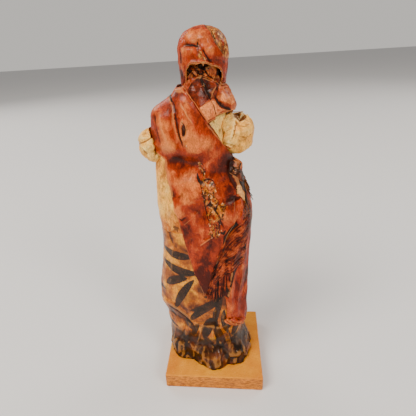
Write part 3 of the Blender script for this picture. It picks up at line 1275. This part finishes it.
def build_neck_band():
    skin = Skin("neck_band")
    turn, z, u = paste_grid(
        lambda z: -80 + 0 * z, lambda z: 80 + 0 * z, lambda u: 264.0 + 0 * u,
        lambda u: 281 - 9 * (2 * u - 1) ** 2, 50, 120,
    )
    radius = skin.radius(turn, z)
    under_hood = Skin("hood").radius(turn, z) - 2.2
    radius += np.maximum(under_hood - radius, 0) * smooth_step((np.abs(turn) - 30) / 22)
    points = from_turns(turn, z, radius)
    across = radius * np.sin(np.radians(turn))
    relief = 1.3 * facets(points, 6, 141) + 0.4 * facets(points, 2.6, 143)
    relief += creases(across, z, [(-1.0, 0.6, [(-10, 276), (-6, 272), (-4, 270)]),
        (-1.0, 0.6, [(-5, 277), (-3, 273), (-2, 270)]), (0.8, 0.7, [(-8, 277), (-5, 273)]),
        (-1.1, 0.7, [(1, 276), (4, 272), (8, 270)]),]) - 0.8
    ink = np.minimum(
        blot(across, z, [(-5, 280.5), (4, 280), (5, 276.5), (0, 275.6), (-4, 277)]),
        blot(across, z, [(9, 277), (14, 276), (13, 271), (9.5, 272)]),
    )
    for line, half_width in (([(-10, 276.5), (-7, 273), (-4.5, 270)], 0.5),
        ([(-6.5, 278), (-5, 274), (-3, 271)], 0.4),
                             ([(1, 275.8), (3.5, 272.6), (7, 270)], 0.6)):
        ink = np.minimum(ink, line_distance(across, z, line)[0] - half_width)
    red = blot(across, z, [(3.5, 277), (8.5, 276), (9.5, 272), (5, 271.5)])
    pale = blot(across, z, [(0.4, 275.6), (4.4, 275), (3.6, 272.2), (1, 272.4)])
    strips = blot(across, z, [(-9.5, 276.8), (-7.4, 278), (-3.4, 271), (-5.4, 270.4)])
    bare = np.minimum(np.minimum(red, pale), strips)
    tone = np.where(pale < 0, 3.2, np.where(strips < 0, 2.4, np.where(red < 0, 1.2, -0.4)))
    marks = {"print": -bare, "ink": ink + 0.3, "tone": tone}
    material = shawl_material("band_paper", None,
        (tint(168, 84, 24), tint(34, 14, 7), tint(214, 136, 66)))
    return lay_sheet("neck_band_paper", turn, z, radius, relief, material, 1.6, marks, drop=1.5)


neck_band = build_neck_band()
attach(neck_band, "root")
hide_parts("neck_band")

# ---------------------------------------------------------------- nape and right shoulder
# Two sheets folded flat across the nape, dark with varnish, meet at a deep
# fold. The right one is pinched into a lobe over the sleeve and runs on over
# the shoulder to the front.

NAPE_FOLDS = [
    (-14, 262, -0.2), (-8, 268.5, 0.6), (-3.5, 272, 0.9), (-1.2, 267.5, -1.0), (1.6, 262.5, -1.5),
    (4, 257.5, -1.4), (-4, 260, 0.9), (-3.2, 252.1, 0.4), (4.6, 256.8, -0.9), (7.6, 256.4, -0.6),
    (3, 270, 0.9), (8.5, 266, 1.0), (5.5, 261, 0.9), (9.3, 262, -0.2), (8.6, 257.4, -1.3),
    (11.8, 252.1, -1.3), (15, 250.2, -1.2), (18.6, 248.1, -0.4), (12.9, 249.6, 0.8),
    (8.5, 247.4, 1.3), (5.8, 245.5, 0.9), (1.8, 243.8, 0.6), (13, 262.5, 1.6), (15.5, 256.5, 2.0),
    (18.5, 252.6, 1.4), (18, 262, 0.6), (20.5, 256, 0.6), (4, 250.5, 0.6),
]
NAPE_PLANES = [
    (-0.6, [(-22, 262), (-22, 274), (-7, 272), (-12, 262), (-14, 256)]),
    (-1.8, [(-12, 263), (-7.5, 269), (-3, 273), (4.2, 257.6), (-3.2, 251.6), (-8, 255)]),
    (-2.0, [(-3, 273), (10, 270), (9.6, 262), (8.4, 256.8), (4.2, 257.6)]),
    (2.2, [(-3.4, 251.8), (4, 255.6), (8, 255.6), (12.6, 250), (9, 246.8), (2, 243)]),
    (0.4, [(10.2, 268), (16, 267), (16, 262), (11, 256), (8.6, 258)]),
    (1.7, [(12, 264), (19, 262), (22, 254), (18, 252), (11.4, 256)]),
    (-2.2, [(8.2, 257.4), (11.6, 255), (18.4, 249.6), (17.6, 247.8), (12, 250.4)]),
]


def painted_planes(across, z, planes):
    """The tone of each flat plane, meeting its neighbours at a crisp line."""
    tone = np.zeros(across.shape)
    for amount, corners in planes:
        share = smooth_step(0.5 - blot(across, z, corners) / 1.0)
        tone = tone * (1 - share) + amount * share
    return tone


def ink_lines(across, z, lines):
    """Distance outside inked lines, wider in the middle: each is (stops, half width)."""
    ink = np.full(across.shape, 9.0)
    for line, half_width in lines:
        away, share, _ = line_distance(across, z, line)
        ink = np.minimum(ink, away - half_width * np.sqrt(4 * share * (1 - share) + 0.02))
    return ink


NAPE_INK = [
    ([(-11.8, 262.8), (-9.5, 266), (-7.7, 268.6)], 0.4),
    ([(-3.1, 273.5), (-0.4, 267.3), (2.2, 262.4), (5, 256.4)], 1.3),
    ([(8.2, 258.4), (10, 254.6), (13, 251.6)], 0.8),
    ([(12.4, 252.2), (16, 249.8), (18.8, 248.4)], 0.7),
    ([(9.8, 266), (9.2, 262), (8.6, 258)], 0.08),
]


def nape_marks(turn, z, across):
    back = np.abs(turn) < 100
    relief = np.where(back, folded(across, z, NAPE_FOLDS, 6), 0)
    tone = np.where(back, painted_planes(across, z, NAPE_PLANES), 0.3)
    ink = ink_lines(across, z, NAPE_INK)
    return relief, tone, np.where(back, ink, 9.0)


nape_skin = Skin("nape_wrap", "shawl_shoulder", "neck_band")
nape_left = edge_turns(back_skin, [[238, 3], [243.3, -0.6], [250, -5.5], [256, -10], [261.5, -15],
    [264.6, -19], [273, -19],])
nape_right = table([[238, 25], [243, 24], [253, 22], [265.8, 1], [273, -4]])
NAPE_PAPER = paper_tones((58, 10, 2), (150, 50, 16), (226, 134, 74), 80.0, 330.0, 1.1)


def build_nape():
    turn, z, u = paste_grid(nape_left, nape_right, lambda u: 240 + 3 * u,
        lambda u: 268 + 5 * np.minimum(1.3 * u, 1), 120, 90)
    radius, points, across = nape_skin.laid_out(turn, z)
    relief, tone, ink = nape_marks(turn, z, across)
    relief = 1.35 * relief + 0.15 * facets(points, 5, 131) + 0.06 * soft_noise(points, 1.6, 7, 2)
    return lay_sheet("shawl_nape", turn, z, radius, relief,
        shawl_material("nape_paper", NAPE_PAPER), 1.6, {"tone": tone, "ink": ink}, drop=1.6,
        worn=("low",))


nape = build_nape()
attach(nape, "root")
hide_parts("nape_wrap")

shoulder_start = table([[238, 21], [243, 20], [253, 17], [265.8, -6], [273.5, -14]])


def build_shoulder():
    def low(u):
        turn = 20 + 136 * u
        return 243.6 + 2.6 * np.exp(-((turn - 60) / 40) ** 2) - 6 * np.exp(-((turn - 150) / 30) ** 2)

    def high(u):
        turn = -8 + 164 * u
        return 265.8 + 7 * np.clip((46 - turn) / 46, 0, 1) ** 0.8

    turn, z, u = paste_grid(lambda z: ragged(shoulder_start(z), z, 44, 0.6),
        lambda z: ragged(156 + 0 * z, z, 45, 1.5), low, high, 95, 200)
    radius, points, across = nape_skin.laid_out(turn, z)
    relief, tone, ink = nape_marks(turn, z, across)
    relief = relief + 0.3 * facets(points, 6, 151) + 0.06 * soft_noise(points, 1.6, 8, 2)
    relief += np.where(turn > 60, 0.8 * facets(points, 11, 152, (1, 1, 0.8)), 0)
    return lay_sheet("shawl_shoulder_fold", turn, z, radius, relief,
        shawl_material("shoulder_paper", NAPE_PAPER), 2.0, {"tone": tone, "ink": ink}, drop=1.8,
        worn=("low", "high"))


shoulder = build_shoulder()
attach(shoulder, "root")
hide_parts("shawl_shoulder")

# ---------------------------------------------------------------- back panel
# The longest sheet comes over the left shoulder, crosses the back and narrows
# to a point at the fringe. A scrap of flowered print shows down its middle.

PANEL_FOLDS = [
    (-41, 236, 0.4), (-36, 252, 0.6), (-30, 259, 0.3), (-33, 244, 1.6), (-29, 232, 1.8),
    (-26, 224, 2.6), (-19, 222, 1.6), (-35, 224, 1.2), (-20, 250, -0.6), (-18, 258, 0.2),
    (-16.5, 254, 1.3), (-13, 249.6, 1.6), (-11, 245.5, 1.3), (-7, 239.6, 0.7), (-12, 256, -0.5),
    (-6, 248, -0.4), (-1, 240, -0.2), (-16, 243, 0.2), (-18, 238, -0.4), (-12, 232, 0.6),
    (-9, 223, 1.4), (3, 228, 0.2), (10, 222, 0.4), (-33, 216, -1.6), (-22.5, 214, -2.2),
    (-13, 209.5, -2.4), (-17, 204, -1.0), (-6, 214, -0.6), (2, 214, -0.4), (-5, 204, -1.2),
    (3, 205, -0.6), (12, 210, 0.6), (-33, 203, 1.0), (-27, 195, 1.8), (-17, 197, 1.6),
    (-9, 196.5, 1.4), (-29, 183, 0.2), (-20, 186, 0.6), (-25, 174, 1.5), (-18, 181, 2.0),
    (-12.6, 186, 2.3), (-4.4, 189, 1.2), (-1, 195, 1.0), (4, 193, 1.2), (-24.5, 166, -0.8),
    (-18, 169, -0.4), (-10, 176, 0.2), (-2, 176, -0.6), (3, 182, 0.6), (6, 170, 0.7),
    (11, 180, 0.4), (10, 164, -0.4), (14, 200, 1.0), (19, 192, 1.3), (17, 178, 0.9),
    (21, 172, 0.2), (22.5, 182, -0.4), (17, 166, 0.8), (-20, 152, 0.5), (-11, 158, 0.3),
    (1.8, 153.5, 1.2), (-6.9, 145.5, 1.3), (4, 146, 0.2), (-14, 138, 0.6), (-4, 130, 0.7),
    (4, 132, -0.2), (-12, 122, 0.4), (-8, 108, 0.6), (-2, 112, -0.2),
]
PANEL_TONES = [
    (0.4, -30, 250, 9, 10), (0.9, -33, 232, 6, 14), (1.8, -10, 238, 4, 10), (2.4, -24, 224, 8, 4),
    (2.2, -4, 226, 8, 5), (-1.2, -22, 240, 3, 10), (1.3, -13, 250, 3, 6), (-1.4, -7, 250, 4, 10),
    (-1.5, -21, 212, 14, 5), (-2.0, -8, 210, 7, 5), (2.0, -9, 223, 4, 3), (0.8, -24, 196, 8, 6),
    (2.2, -9, 195, 4, 4), (2.2, -15, 184, 7, 4), (1.0, -24, 175, 4, 4), (-1.3, -28, 187, 5, 5),
    (-0.9, -14, 160, 14, 8), (-2.4, 16, 206, 7, 22), (-1.8, 18, 182, 5, 14), (1.6, 14, 172, 3, 5),
    (-1.5, -10, 136, 16, 16), (-1.4, 2, 150, 8, 6), (-2.3, -4, 108, 14, 18), (1.0, 2, 232, 8, 6),
    (0.8, 8, 218, 5, 6),
]
PRINT_PATCHES = [
    [(-6, 198), (-4.3, 199.6), (0.4, 200.6), (4.3, 199), (7.6, 192.6), (5, 187), (-1, 188),
    (-4, 190)],
    [(-4, 189), (5, 188), (8, 181), (9, 178), (12, 181), (14.5, 178), (12, 170), (9, 163),
    (11, 156), (6, 151), (0, 155), (1, 163), (-1.5, 174)],
    [(-5.6, 212.5), (-2.6, 211), (-1.2, 205), (-2, 199), (-4.4, 203), (-6.4, 208)],
    [(-14.6, 229), (-12.4, 228), (-12.6, 224.6), (-14.4, 225.4)],
]
PANEL_INK = [
    ([(-8, 203.5), (-7, 200), (-5.4, 197.2), (-4, 195)], 1.0),
    ([(-5.4, 197), (-3.6, 190), (-1.8, 176), (0, 168), (2.8, 163)], 0.45),
    ([(-1, 178), (2, 181), (5, 176), (8, 171)], 0.9), ([(9, 157), (11.6, 155), (13, 158)], 1.1),
    ([(8.6, 160), (8.2, 167)], 0.4), ([(4, 164), (5.6, 161), (9, 163)], 0.3),
    ([(8.6, 178), (10.8, 175), (13.4, 179)], 0.3), ([(0, 200), (4, 198), (7, 193)], 0.25),
    ([(-2, 193), (2, 191), (5.6, 193)], 0.3), ([(19, 160), (19.6, 153)], 0.7),
    ([(-13.2, 241.6), (-12.8, 238), (-13.6, 233)], 0.35),
    ([(-27.6, 262.6), (-26, 259), (-24, 255.6)], 0.8),
]
panel_left_back = edge_turns(back_skin, [[92, -6.8], [93, -7], [100, -9.4], [116, -15.8],
    [134, -19.6], [160, -25.8], [182, -30.3], [200, -33.8], [218, -37.8], [230, -41],])
panel_left_front = table([[212, -75], [222, -92], [228, -112], [236, -140], [244, -158],
    [266.6, -164],])
panel_right = edge_turns(back_skin, [[92, -4.0], [99, -1], [115, 3.8], [128, 8], [140, 12.4],
    [150, 15.2], [158, 19.4], [166, 24.6], [186, 27.4], [198, 24.4], [210, 20.4], [219, 17.2],
    [227, 12.8], [236, 7.2], [243.3, 1.9], [250, -2.7], [256, -7.3], [261.5, -11.8], [264.6, -16.5],
    [266.6, -18.5],])


def panel_left(z):
    share = np.clip((z - 212) / 10, 0, 1)
    return panel_left_back(np.minimum(z, 230)) * (1 - share) + panel_left_front(z) * share


def build_panel():
    turn, z, u = paste_grid(lambda z: ragged(panel_left(z), z, 61, 0.5),
        lambda z: ragged(panel_right(z), z, 62, 0.35), lambda u: 92 + 0 * u,
        lambda u: 266.6 + 0 * u, 270, 178)
    radius, points, across = back_skin.laid_out(turn, z)
    back = turn > -92
    plain = 0.25 * facets(points, 8, 108, (1, 1, 0.7)) + 0.05 * soft_noise(points, 1.8, 104, 2)
    relief = np.where(back, folded(across, z, PANEL_FOLDS), 0)
    relief = blur(relief, 1.2, 1.2, False)
    relief += np.where(turn < -80, 1.3 * facets(points, 14, 103,
        (1, 1, 0.8)) * smooth_step((-80 - turn) / 20), 0)
    relief += plain + 2.0 * np.exp(-((z - 251) / 5) ** 2 - ((turn + 86) / 14) ** 2)
    relief += np.where(back, laps(across, z, [(1.3, 5.0,
        [(-28, 264), (-25.6, 258.5), (-23.4, 254), (-22.3, 247.9), (-21.2, 240.3), (-20.3, 234.9),
        (-18, 229), (-15.4, 220)]),]), 0)
    relief += np.where(back, creases(across, z, [
        (0.6, 0.8, [(-16.5, 256), (-13, 250), (-11, 246), (-6.5, 239)]),
        (-0.9, 0.8, [(-26, 168), (-22.4, 165.4), (-18, 168.8)]),
        (0.9, 0.7, [(1.8, 153), (-2.4, 149.6), (-7, 145)]),
        (-0.8, 0.7, [(-13, 150), (-14.6, 147), (-14, 144.6)]),
        (-0.8, 0.7, [(-4, 197), (0.4, 199), (4.3, 197.8), (6.8, 192.4)]),
        (-0.7, 0.6, [(-5, 194.3), (-1.8, 190), (-2, 180)]),
        (-0.7, 0.8, [(9, 184), (7, 176), (9, 168), (13, 158)]),
        (0.6, 0.8, [(20, 196), (21, 184), (19, 168)]),
        (-0.6, 0.8, [(23, 194), (23.6, 184), (22, 172)]),
        (0.5, 0.7, [(-33, 250), (-31, 238), (-27, 228)]),
        (-0.5, 0.8, [(-37, 247), (-36, 236), (-33, 224)]),
        (0.5, 0.8, [(-10, 222), (-6, 220), (-2, 222)]),
        (0.5, 0.8, [(-6, 176), (-13, 168), (-22, 160)]),
        (-0.4, 0.8, [(-26, 155), (-16, 152), (-6, 156)]),
    ]), 0)
    slit = np.hypot((across + 15.6) / 1.9, (z - 237) / 5.0)
    relief -= np.where(back, 0.5 * smooth_step((1.05 - slit) / 0.3), 0)
    relief += np.where(back, 0.5 * np.exp(-((slit - 1.35) / 0.25) ** 2), 0)
    prints = np.minimum.reduce([blot(across, z,
        patch) for patch in PRINT_PATCHES] + [(slit - 0.95) * 2])
    relief += np.where(back, 0.7 * facets(points, 3.2, 111,
        (1, 1, 0.6)) * smooth_step(-prints / 1.5), 0)
    ink = ink_lines(across, z, PANEL_INK)
    sides = edge_distances(turn, z, radius)
    cut = sides["right"] + 9 * smooth_step((190 - z) / 20)
    marks = {"tone": np.where(back, zone(across, z, PANEL_TONES), 0.4),
        "print": np.where(back, prints, 9.0), "ink": np.where(back, ink, 9.0),
        "edge": np.minimum(np.minimum(sides["left"], cut), sides["low"])}
    scraps = (tint(196, 116, 26), tint(40, 18, 10), tint(240, 184, 136))
    return lay_sheet("shawl_panel", turn, z, radius, relief,
        shawl_material("panel_paper", None, scraps), 2.4, marks, drop=2.6, clear=sleeve_left,
        calm=np.where((z < 180) & (u > 0.88), 0.15, 1.0))


panel = build_panel()
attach(panel, "root")
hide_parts("shawl_back")

# ---------------------------------------------------------------- fringe
# The slanting end of the panel is cut into strands. They lie down to the left
# over a dark ground, then hang and run together in varnish.

fringe_skin = Skin("fringe", "shawl_back", "shawl_end")
fringe_left = edge_turns(back_skin, [[86, -4], [92, -4], [99, -1.5], [115, 1.6], [128, 5.6],
    [140, 10.6], [152, 11.5], [164, 20],])
fringe_right = edge_turns(fringe_skin, [[86, 13.5], [100, 16], [112, 20], [124, 27], [142, 31],
    [158, 32], [164, 31],])


def build_fringe_ground():
    turn, z, u = paste_grid(fringe_left, fringe_right, lambda u: 88 + 3 * np.sin(9 * u),
        lambda u: 160 + 3 * np.sin(7 * u), 120, 60)
    radius = fringe_skin.radius(turn, z) - 0.9
    points = from_turns(turn, z, radius)
    relief = 0.4 * facets(points, 5, 171, (1, 1, 0.4))
    dark = paper_tones((10, 3, 2), (28, 8, 4), (84, 22, 8), 90.0, 420.0, 1.6)
    marks = {"tone": np.full(turn.shape, -0.5), "edge": np.full(turn.shape, 9.0)}
    return lay_sheet("shawl_fringe", turn, z, radius, relief, shawl_material("fringe_ground", dark),
        1.0, marks, drop=1.5, lift=0.3)


STRANDS, SLANTED = 104, 66
strand_limit = table([[88, -4], [99, -2], [115, 2.5], [128, 7], [140, 11], [150, 11.5], [158, 17]])


def strand_line(number):
    """Where one strand runs: points of [across, z], from where it is cut to its hanging tip."""
    jitter = [2 * hashed(np.array([number, k, 5]), 11) - 1 for k in range(6)]
    if number < SLANTED:
        share = (number + 0.5) / SLANTED
        start = np.array((33 - 5 * share + 1.0 * jitter[0], 164 - 44 * share + 2.0 * jitter[1]))
        elbow_z = 148 - 38 * share + 1.2 * jitter[3]
        elbow = np.array((float(strand_limit(elbow_z)) + 0.8 * jitter[2], elbow_z))
        tip = elbow + np.array((-2.5 - 2.5 * share + 2.5 * jitter[5],
            -11 - 10 * share - 6 * jitter[4]))
    else:
        share = (number - SLANTED + 0.5) / (STRANDS - SLANTED)
        start = np.array((19 - 19 * share + 1.0 * jitter[0], 134 - 24 * share + 3.0 * jitter[1]))
        elbow = start + np.array((-3.4 + 1.0 * jitter[2], -15 + 3.0 * jitter[3]))
        tip = elbow + np.array((-0.6 + 1.2 * jitter[5], -20 + 10 * share - 4 * jitter[4]))
    line = []
    for t in np.linspace(0, 1, 26):
        line.append((1 - t) ** 2 * start + 2 * t * (1 - t) * elbow + t * t * tip)
    return np.array(line)


def build_strands():
    tree = surface_tree(*laid)
    points = []
    faces = []
    tones = []
    for number in range(STRANDS):
        line = strand_line(number)
        shade = 2 * hashed(np.array([number, 3, 8]), 21) - 1
        steps = np.gradient(line, axis=0)
        aside = np.stack([steps[:, 1], -steps[:, 0]], axis=-1)
        aside /= np.linalg.norm(aside, axis=1)[:, None]
        width = 0.3 + 0.25 * hashed(np.array([number, 4, 8]), 22)
        taper = np.minimum(1, 6 * np.linspace(0, 1, len(line)) + 0.3) * np.minimum(1,
            4 * (1 - np.linspace(0, 1, len(line))) + 0.25)
        section = []
        for offset, rise in ((-1, 0.0), (-0.45, 0.9), (0.45, 0.9), (1, 0.0), (0, -0.5)):
            spot = line + aside * (offset * width * taper)[:, None]
            angle = turns_for(fringe_skin, spot[:, 0], spot[:, 1])
            reach = fringe_skin.radius(angle, spot[:, 1])
            ground = radius_at(tree, angle, spot[:, 1], 0.0)
            ground = np.where(ground > 0, ground, reach)
            section.append(from_turns(angle, spot[:, 1], ground + rise * (0.5 + 0.5 * taper)))
        rings = np.stack(section, axis=1)
        first = len(points)
        points.extend(rings.reshape(-1, 3))
        faces.extend([first + i for i in face] for face in closed_rings(rings))
        tones.extend([2.0 * shade - 0.3] * rings.shape[0] * rings.shape[1])
    count = len(points)
    marks = {"tone": np.array(tones), "edge": np.full(count, 9.0), "ink": np.full(count, 9.0),
        "print": np.full(count, 9.0), "fold": np.zeros(count)}
    colours = paper_tones((14, 4, 2), (104, 26, 8), (186, 80, 32), 160.0, 420.0, 2.0)
    return make_object("fringe_strands", np.array(points), faces,
        shawl_material("strand_paper", colours), marks)


fringe = build_fringe_ground()
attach(fringe, "root")
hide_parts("fringe")
strands = build_strands()
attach(strands, "root")

# ---------------------------------------------------------------- twist
# The hanging end is gathered in a twist of ochre and red paper at its foot.


def build_twist():
    points, normals, faces = remeshed("end_twist", 0.5)
    relief = 0.7 * facets(points, 5, 181, (1, 1, 1.4)) + 0.4 * facets(points, 2.6, 185)
    spiral = points[:, 2] - 0.8 * points[:, 0]
    relief += 0.5 * np.sin(spiral * 1.9 + 0.3 * points[:, 1])
    fold = relief - mesh_blur(relief, faces, 10)
    points = points + normals * (relief - 0.1)[:, None]
    count = len(points)
    marks = {"fold": fold, "edge": np.full(count, 9.0), "ink": np.full(count, 9.0),
        "tone": np.zeros(count), "print": 3 * np.sin(spiral * 0.8) + 1.0}
    material = shawl_material("twist_paper", None,
        (tint(196, 116, 40), tint(120, 50, 20), tint(226, 160, 90)))
    return make_object("end_twist_paper", points, faces, material, marks)


twist = build_twist()
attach(twist, "root")
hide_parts("end_twist")

# ---------------------------------------------------------------- hood
# One sheet drawn over the head, open at the face and arched up at the nape.
# It is folded flat in places, and a band of ochre print shows at the upper right.

HOOD_CENTRE = Vector((0.8, 1.0, 278.0))
HOOD_THICK = 1.5
hood_edge = table([[-180, 292], [-150, 291], [-136, 284], [-124, 270], [-105, 265.6], [-62, 265.4],
    [-50, 268], [-44, 272.5], [-36, 277], [-24, 280], [0, 281], [28, 278.5], [48, 275], [58, 270],
    [66, 266], [105, 265.6], [124, 270], [136, 284], [150, 291], [180, 292],])
HOOD_FOLDS = [
    (0, 304.6, 0.3), (-6, 302.4, 0.9), (-11.5, 298, 0.9), (-15.4, 292, 0.5), (-3, 299, 0.2),
    (-9, 295.6, 0.6), (-5, 294, 0.9), (-10, 292.6, -0.7), (-4.4, 292.2, -1.1), (-13, 289, 1.0),
    (-7, 289, 0.9), (-9, 283, 1.0), (-3.2, 288, -0.6), (-2.6, 294.6, -0.6), (0.9, 296, 0.8),
    (4.6, 288.6, 1.1), (2, 291.6, 0.4), (0.4, 286, -0.8), (5.6, 282.4, -0.9), (7.4, 280, -0.4),
    (8, 287, 0.7), (10, 283, 0.6), (3.6, 301, 0.5), (8, 295, 0.3), (9.5, 300, 0.5), (13, 293, 0.8),
    (16, 286, 0.8), (15, 280, -0.6), (16.6, 274, 0.4), (12.6, 279.4, 0.6), (-14.6, 279, 0.8),
    (-12.4, 281, 0.7), (-16.4, 283, -0.8), (-16.8, 275, -1.0),
]
HOOD_INK = [
    ([(0.8, 304.6), (3.7, 301.2), (5.9, 299.2), (7.7, 295.3), (9.1, 292), (12, 287.4), (15, 282.4)],
    0.8),
    ([(9.4, 291), (12, 288)], 0.9), ([(-9.7, 292.9), (-6, 292.6), (-3.2, 291.8)], 0.4),
    ([(-3.3, 294), (-2.6, 291), (-2.6, 287.4)], 0.45),
    ([(1, 289.6), (1.6, 287), (3.6, 284.4), (6.4, 280.6)], 0.4),
    ([(-15.7, 289), (-16.3, 283), (-16.6, 270)], 0.6),
]
HOOD_TONES = [
    (1.2, -8, 300, 8, 5), (1.0, 1, 298, 5, 5), (-1.0, -9, 294, 5, 1.5), (0.8, -10, 286, 5, 6),
    (1.3, 5, 288, 3, 3), (-1.0, -14, 275, 4, 8), (-0.8, 12, 282, 5, 4), (-1.0, 5, 283, 5, 2),
]


def build_hood():
    tree = surface_tree(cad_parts["hood"])
    reach = 0.05
    centre = HOOD_CENTRE * MM
    bow_line = np.radians(np.arange(2.0, 132.0, 2.0))
    grid = np.full((len(bow_line), len(TURNS)), np.nan)
    for i, turn in enumerate(np.radians(TURNS)):
        for j, bow in enumerate(bow_line):
            way = Vector((-math.sin(bow) * math.sin(turn), math.sin(bow) * math.cos(turn),
                math.cos(bow)))
            hit = tree.ray_cast(centre + way * reach, -way, reach)
            if hit[0] is not None:
                grid[j, i] = (reach - hit[3]) / MM
    grid = blur(spread_known(grid), 0.8, 0.8)
    columns = 240
    rows = 105
    turn_line = np.linspace(-180, 180, columns, endpoint=False)
    column = np.mod(turn_line + 180, 360) / TURN_STEP
    left = np.floor(column).astype(int) % len(TURNS)
    part = column - np.floor(column)
    reaches = grid[:, left] * (1 - part) + grid[:, (left + 1) % len(TURNS)] * part
    heights = HOOD_CENTRE.z + reaches * np.cos(bow_line)[:, None]
    bow = np.empty((rows, columns))
    radius = np.empty((rows, columns))
    for i in range(columns):
        wanted = float(hood_edge(turn_line[i])) + 0.3 * math.sin(0.21 * turn_line[i])
        last = float(np.interp(-wanted, -heights[:, i], bow_line))
        bow[:, i] = np.linspace(bow_line[0], last, rows)
        radius[:, i] = np.interp(bow[:, i], bow_line, reaches[:, i])
    turn = np.repeat(np.radians(turn_line)[None, :], rows, axis=0)
    ways = np.stack([-np.sin(bow) * np.sin(turn), np.sin(bow) * np.cos(turn), np.cos(bow)], axis=-1)
    middle = np.array(HOOD_CENTRE)
    points = middle + ways * radius[..., None]
    across, z = -points[..., 0], points[..., 2]
    back = points[..., 1] > HOOD_CENTRE.y - 2
    relief = np.where(back, folded(across, z, HOOD_FOLDS, 8), 0)
    relief = blur(relief, 0.8, 0.8)
    relief += 0.3 * facets(points, 7, 191) + 0.05 * soft_noise(points, 1.6, 17, 2)
    relief += np.where(back, 0, 0.9 * facets(points, 11, 192))
    relief += np.where(back, laps(across, z, [(1.3, 3.0,
        [(0.6, 305), (3.7, 301.2), (5.9, 299.2), (7.7, 295.3), (9.1, 292), (12, 287.4), (16, 281)]),
        ]), 0)
    relief += np.where(back, creases(across, z, [
        (-0.8, 0.6, [(-10.5, 293), (-6, 292.6), (-3, 291.6)]),
        (-0.7, 0.6, [(-3.3, 294.5), (-0.9, 290.7), (1.3, 287.6), (3.4, 284.4), (7.5, 279.7)]),
        (-1.0, 0.8, [(-15.6, 290), (-16.4, 280), (-16.6, 268)]),
        (0.5, 0.7, [(0.4, 304), (-1.6, 299), (-2.8, 295)]),
        (0.4, 0.7, [(-7, 302), (-10, 297), (-14, 293)]),
        (-0.4, 0.8, [(-8, 292), (-9, 286), (-12, 281)]),
    ]), 0)
    rim = (bow[-1:] - bow) * radius
    relief += 0.6 * np.exp(-((rim - 1.0) / 0.9) ** 2)
    outer = middle + ways * (radius + relief)[..., None]
    depth = 0.7 + (HOOD_THICK - 0.7) * smooth_step(rim / 3)
    inner = middle + ways * (radius + relief - depth)[..., None]
    rings = np.concatenate([outer, inner[::-1]])
    band = blot(across, z, [(0.8, 307), (0.8, 304.6), (3.7, 301.2), (5.9, 299.2), (7.7, 295.3),
        (9.1, 292), (12, 287.4), (15.4, 282.4), (24, 281), (24, 300), (10, 309),])
    fleck = blot(across, z, [(-3.4, 292.6), (-1.6, 291.4), (-0.6, 288), (0.4, 285.6), (3, 283),
        (0.4, 282.6), (-3, 284.4),])
    arch = np.where(np.abs(turn) < math.radians(66), rim - 0.9, 9.0)
    ink = ink_lines(across, z, HOOD_INK)
    marks = {
        "fold": ridge_mark(relief, 3, 3), "edge": rim,
        "tone": np.where(back, zone(across, z, HOOD_TONES), 0),
        "print": np.where(back, np.minimum(np.minimum(band, fleck), arch), 9.0),
        "ink": np.where(back, ink, 9.0),
    }
    doubled = {key: np.concatenate([value, value[::-1]]).reshape(-1) for key,
        value in marks.items()}
    scraps = (tint(206, 136, 56), tint(104, 54, 26), tint(228, 168, 96))
    return make_object("hood_paper", rings.reshape(-1, 3), closed_rings(rings),
        shawl_material("hood_paper", None, scraps), doubled)


hood = build_hood()
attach(hood, "root")
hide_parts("hood")

# ---------------------------------------------------------------- floor and light
# A plain pale floor. One soft warm lamp is the key, three weaker ones fill the
# shadows, and the pale room adds a little light from everywhere.


def lay_floor():
    material, _, surface = new_material("pale_floor", 0.9)
    surface.inputs["Base Color"].default_value = tint(226, 226, 228)
    bpy.ops.mesh.primitive_plane_add(size=30, location=(0, 0, -0.0002))
    floor = bpy.context.object
    floor.name = "floor"
    floor.data.materials.append(material)


def hang_light(name, place, size, power, colour=(1, 1, 1)):
    data = bpy.data.lights.new(name, "AREA")
    data.shape = "DISK"
    data.size = size
    data.energy = power
    data.color = colour
    lamp = bpy.data.objects.new(name, data)
    lamp.location = place
    aim = Vector((0, 0, 0.15)) - Vector(place)
    lamp.rotation_euler = aim.to_track_quat("-Z", "Y").to_euler()
    bpy.context.collection.objects.link(lamp)


def set_lights():
    hang_light("key_light", (1.3, 1.3, 2.2), 1.4, 76, (1.0, 0.93, 0.82))
    hang_light("right_light", (-1.6, 1.5, 1.7), 1.0, 34, (1.0, 0.93, 0.84))
    hang_light("front_left_light", (1.7, -1.5, 1.5), 1.2, 22, (1.0, 0.95, 0.88))
    hang_light("front_right_light", (-1.7, -1.3, 1.5), 1.2, 16, (1.0, 0.95, 0.88))
    sky = bpy.data.lights.new("sky_light", "SUN")
    sky.energy = 0.7
    sky.angle = math.radians(120)
    sky.color = (1.0, 0.97, 0.92)
    bpy.context.collection.objects.link(bpy.data.objects.new("sky_light", sky))
    world = bpy.data.worlds.new("room")
    world.use_nodes = True
    background = world.node_tree.nodes["Background"]
    background.inputs["Color"].default_value = (1.0, 0.96, 0.9, 1)
    # The room looks as pale as the floor, but lights the figure only a little.
    path = world.node_tree.nodes.new("ShaderNodeLightPath")
    strength = world.node_tree.nodes.new("ShaderNodeMath")
    strength.operation = "MULTIPLY_ADD"
    strength.inputs[1].default_value = 0.42
    strength.inputs[2].default_value = 0.2
    world.node_tree.links.new(path.outputs["Is Camera Ray"], strength.inputs[0])
    world.node_tree.links.new(strength.outputs[0], background.inputs["Strength"])
    bpy.context.scene.world = world


lay_floor()
set_lights()
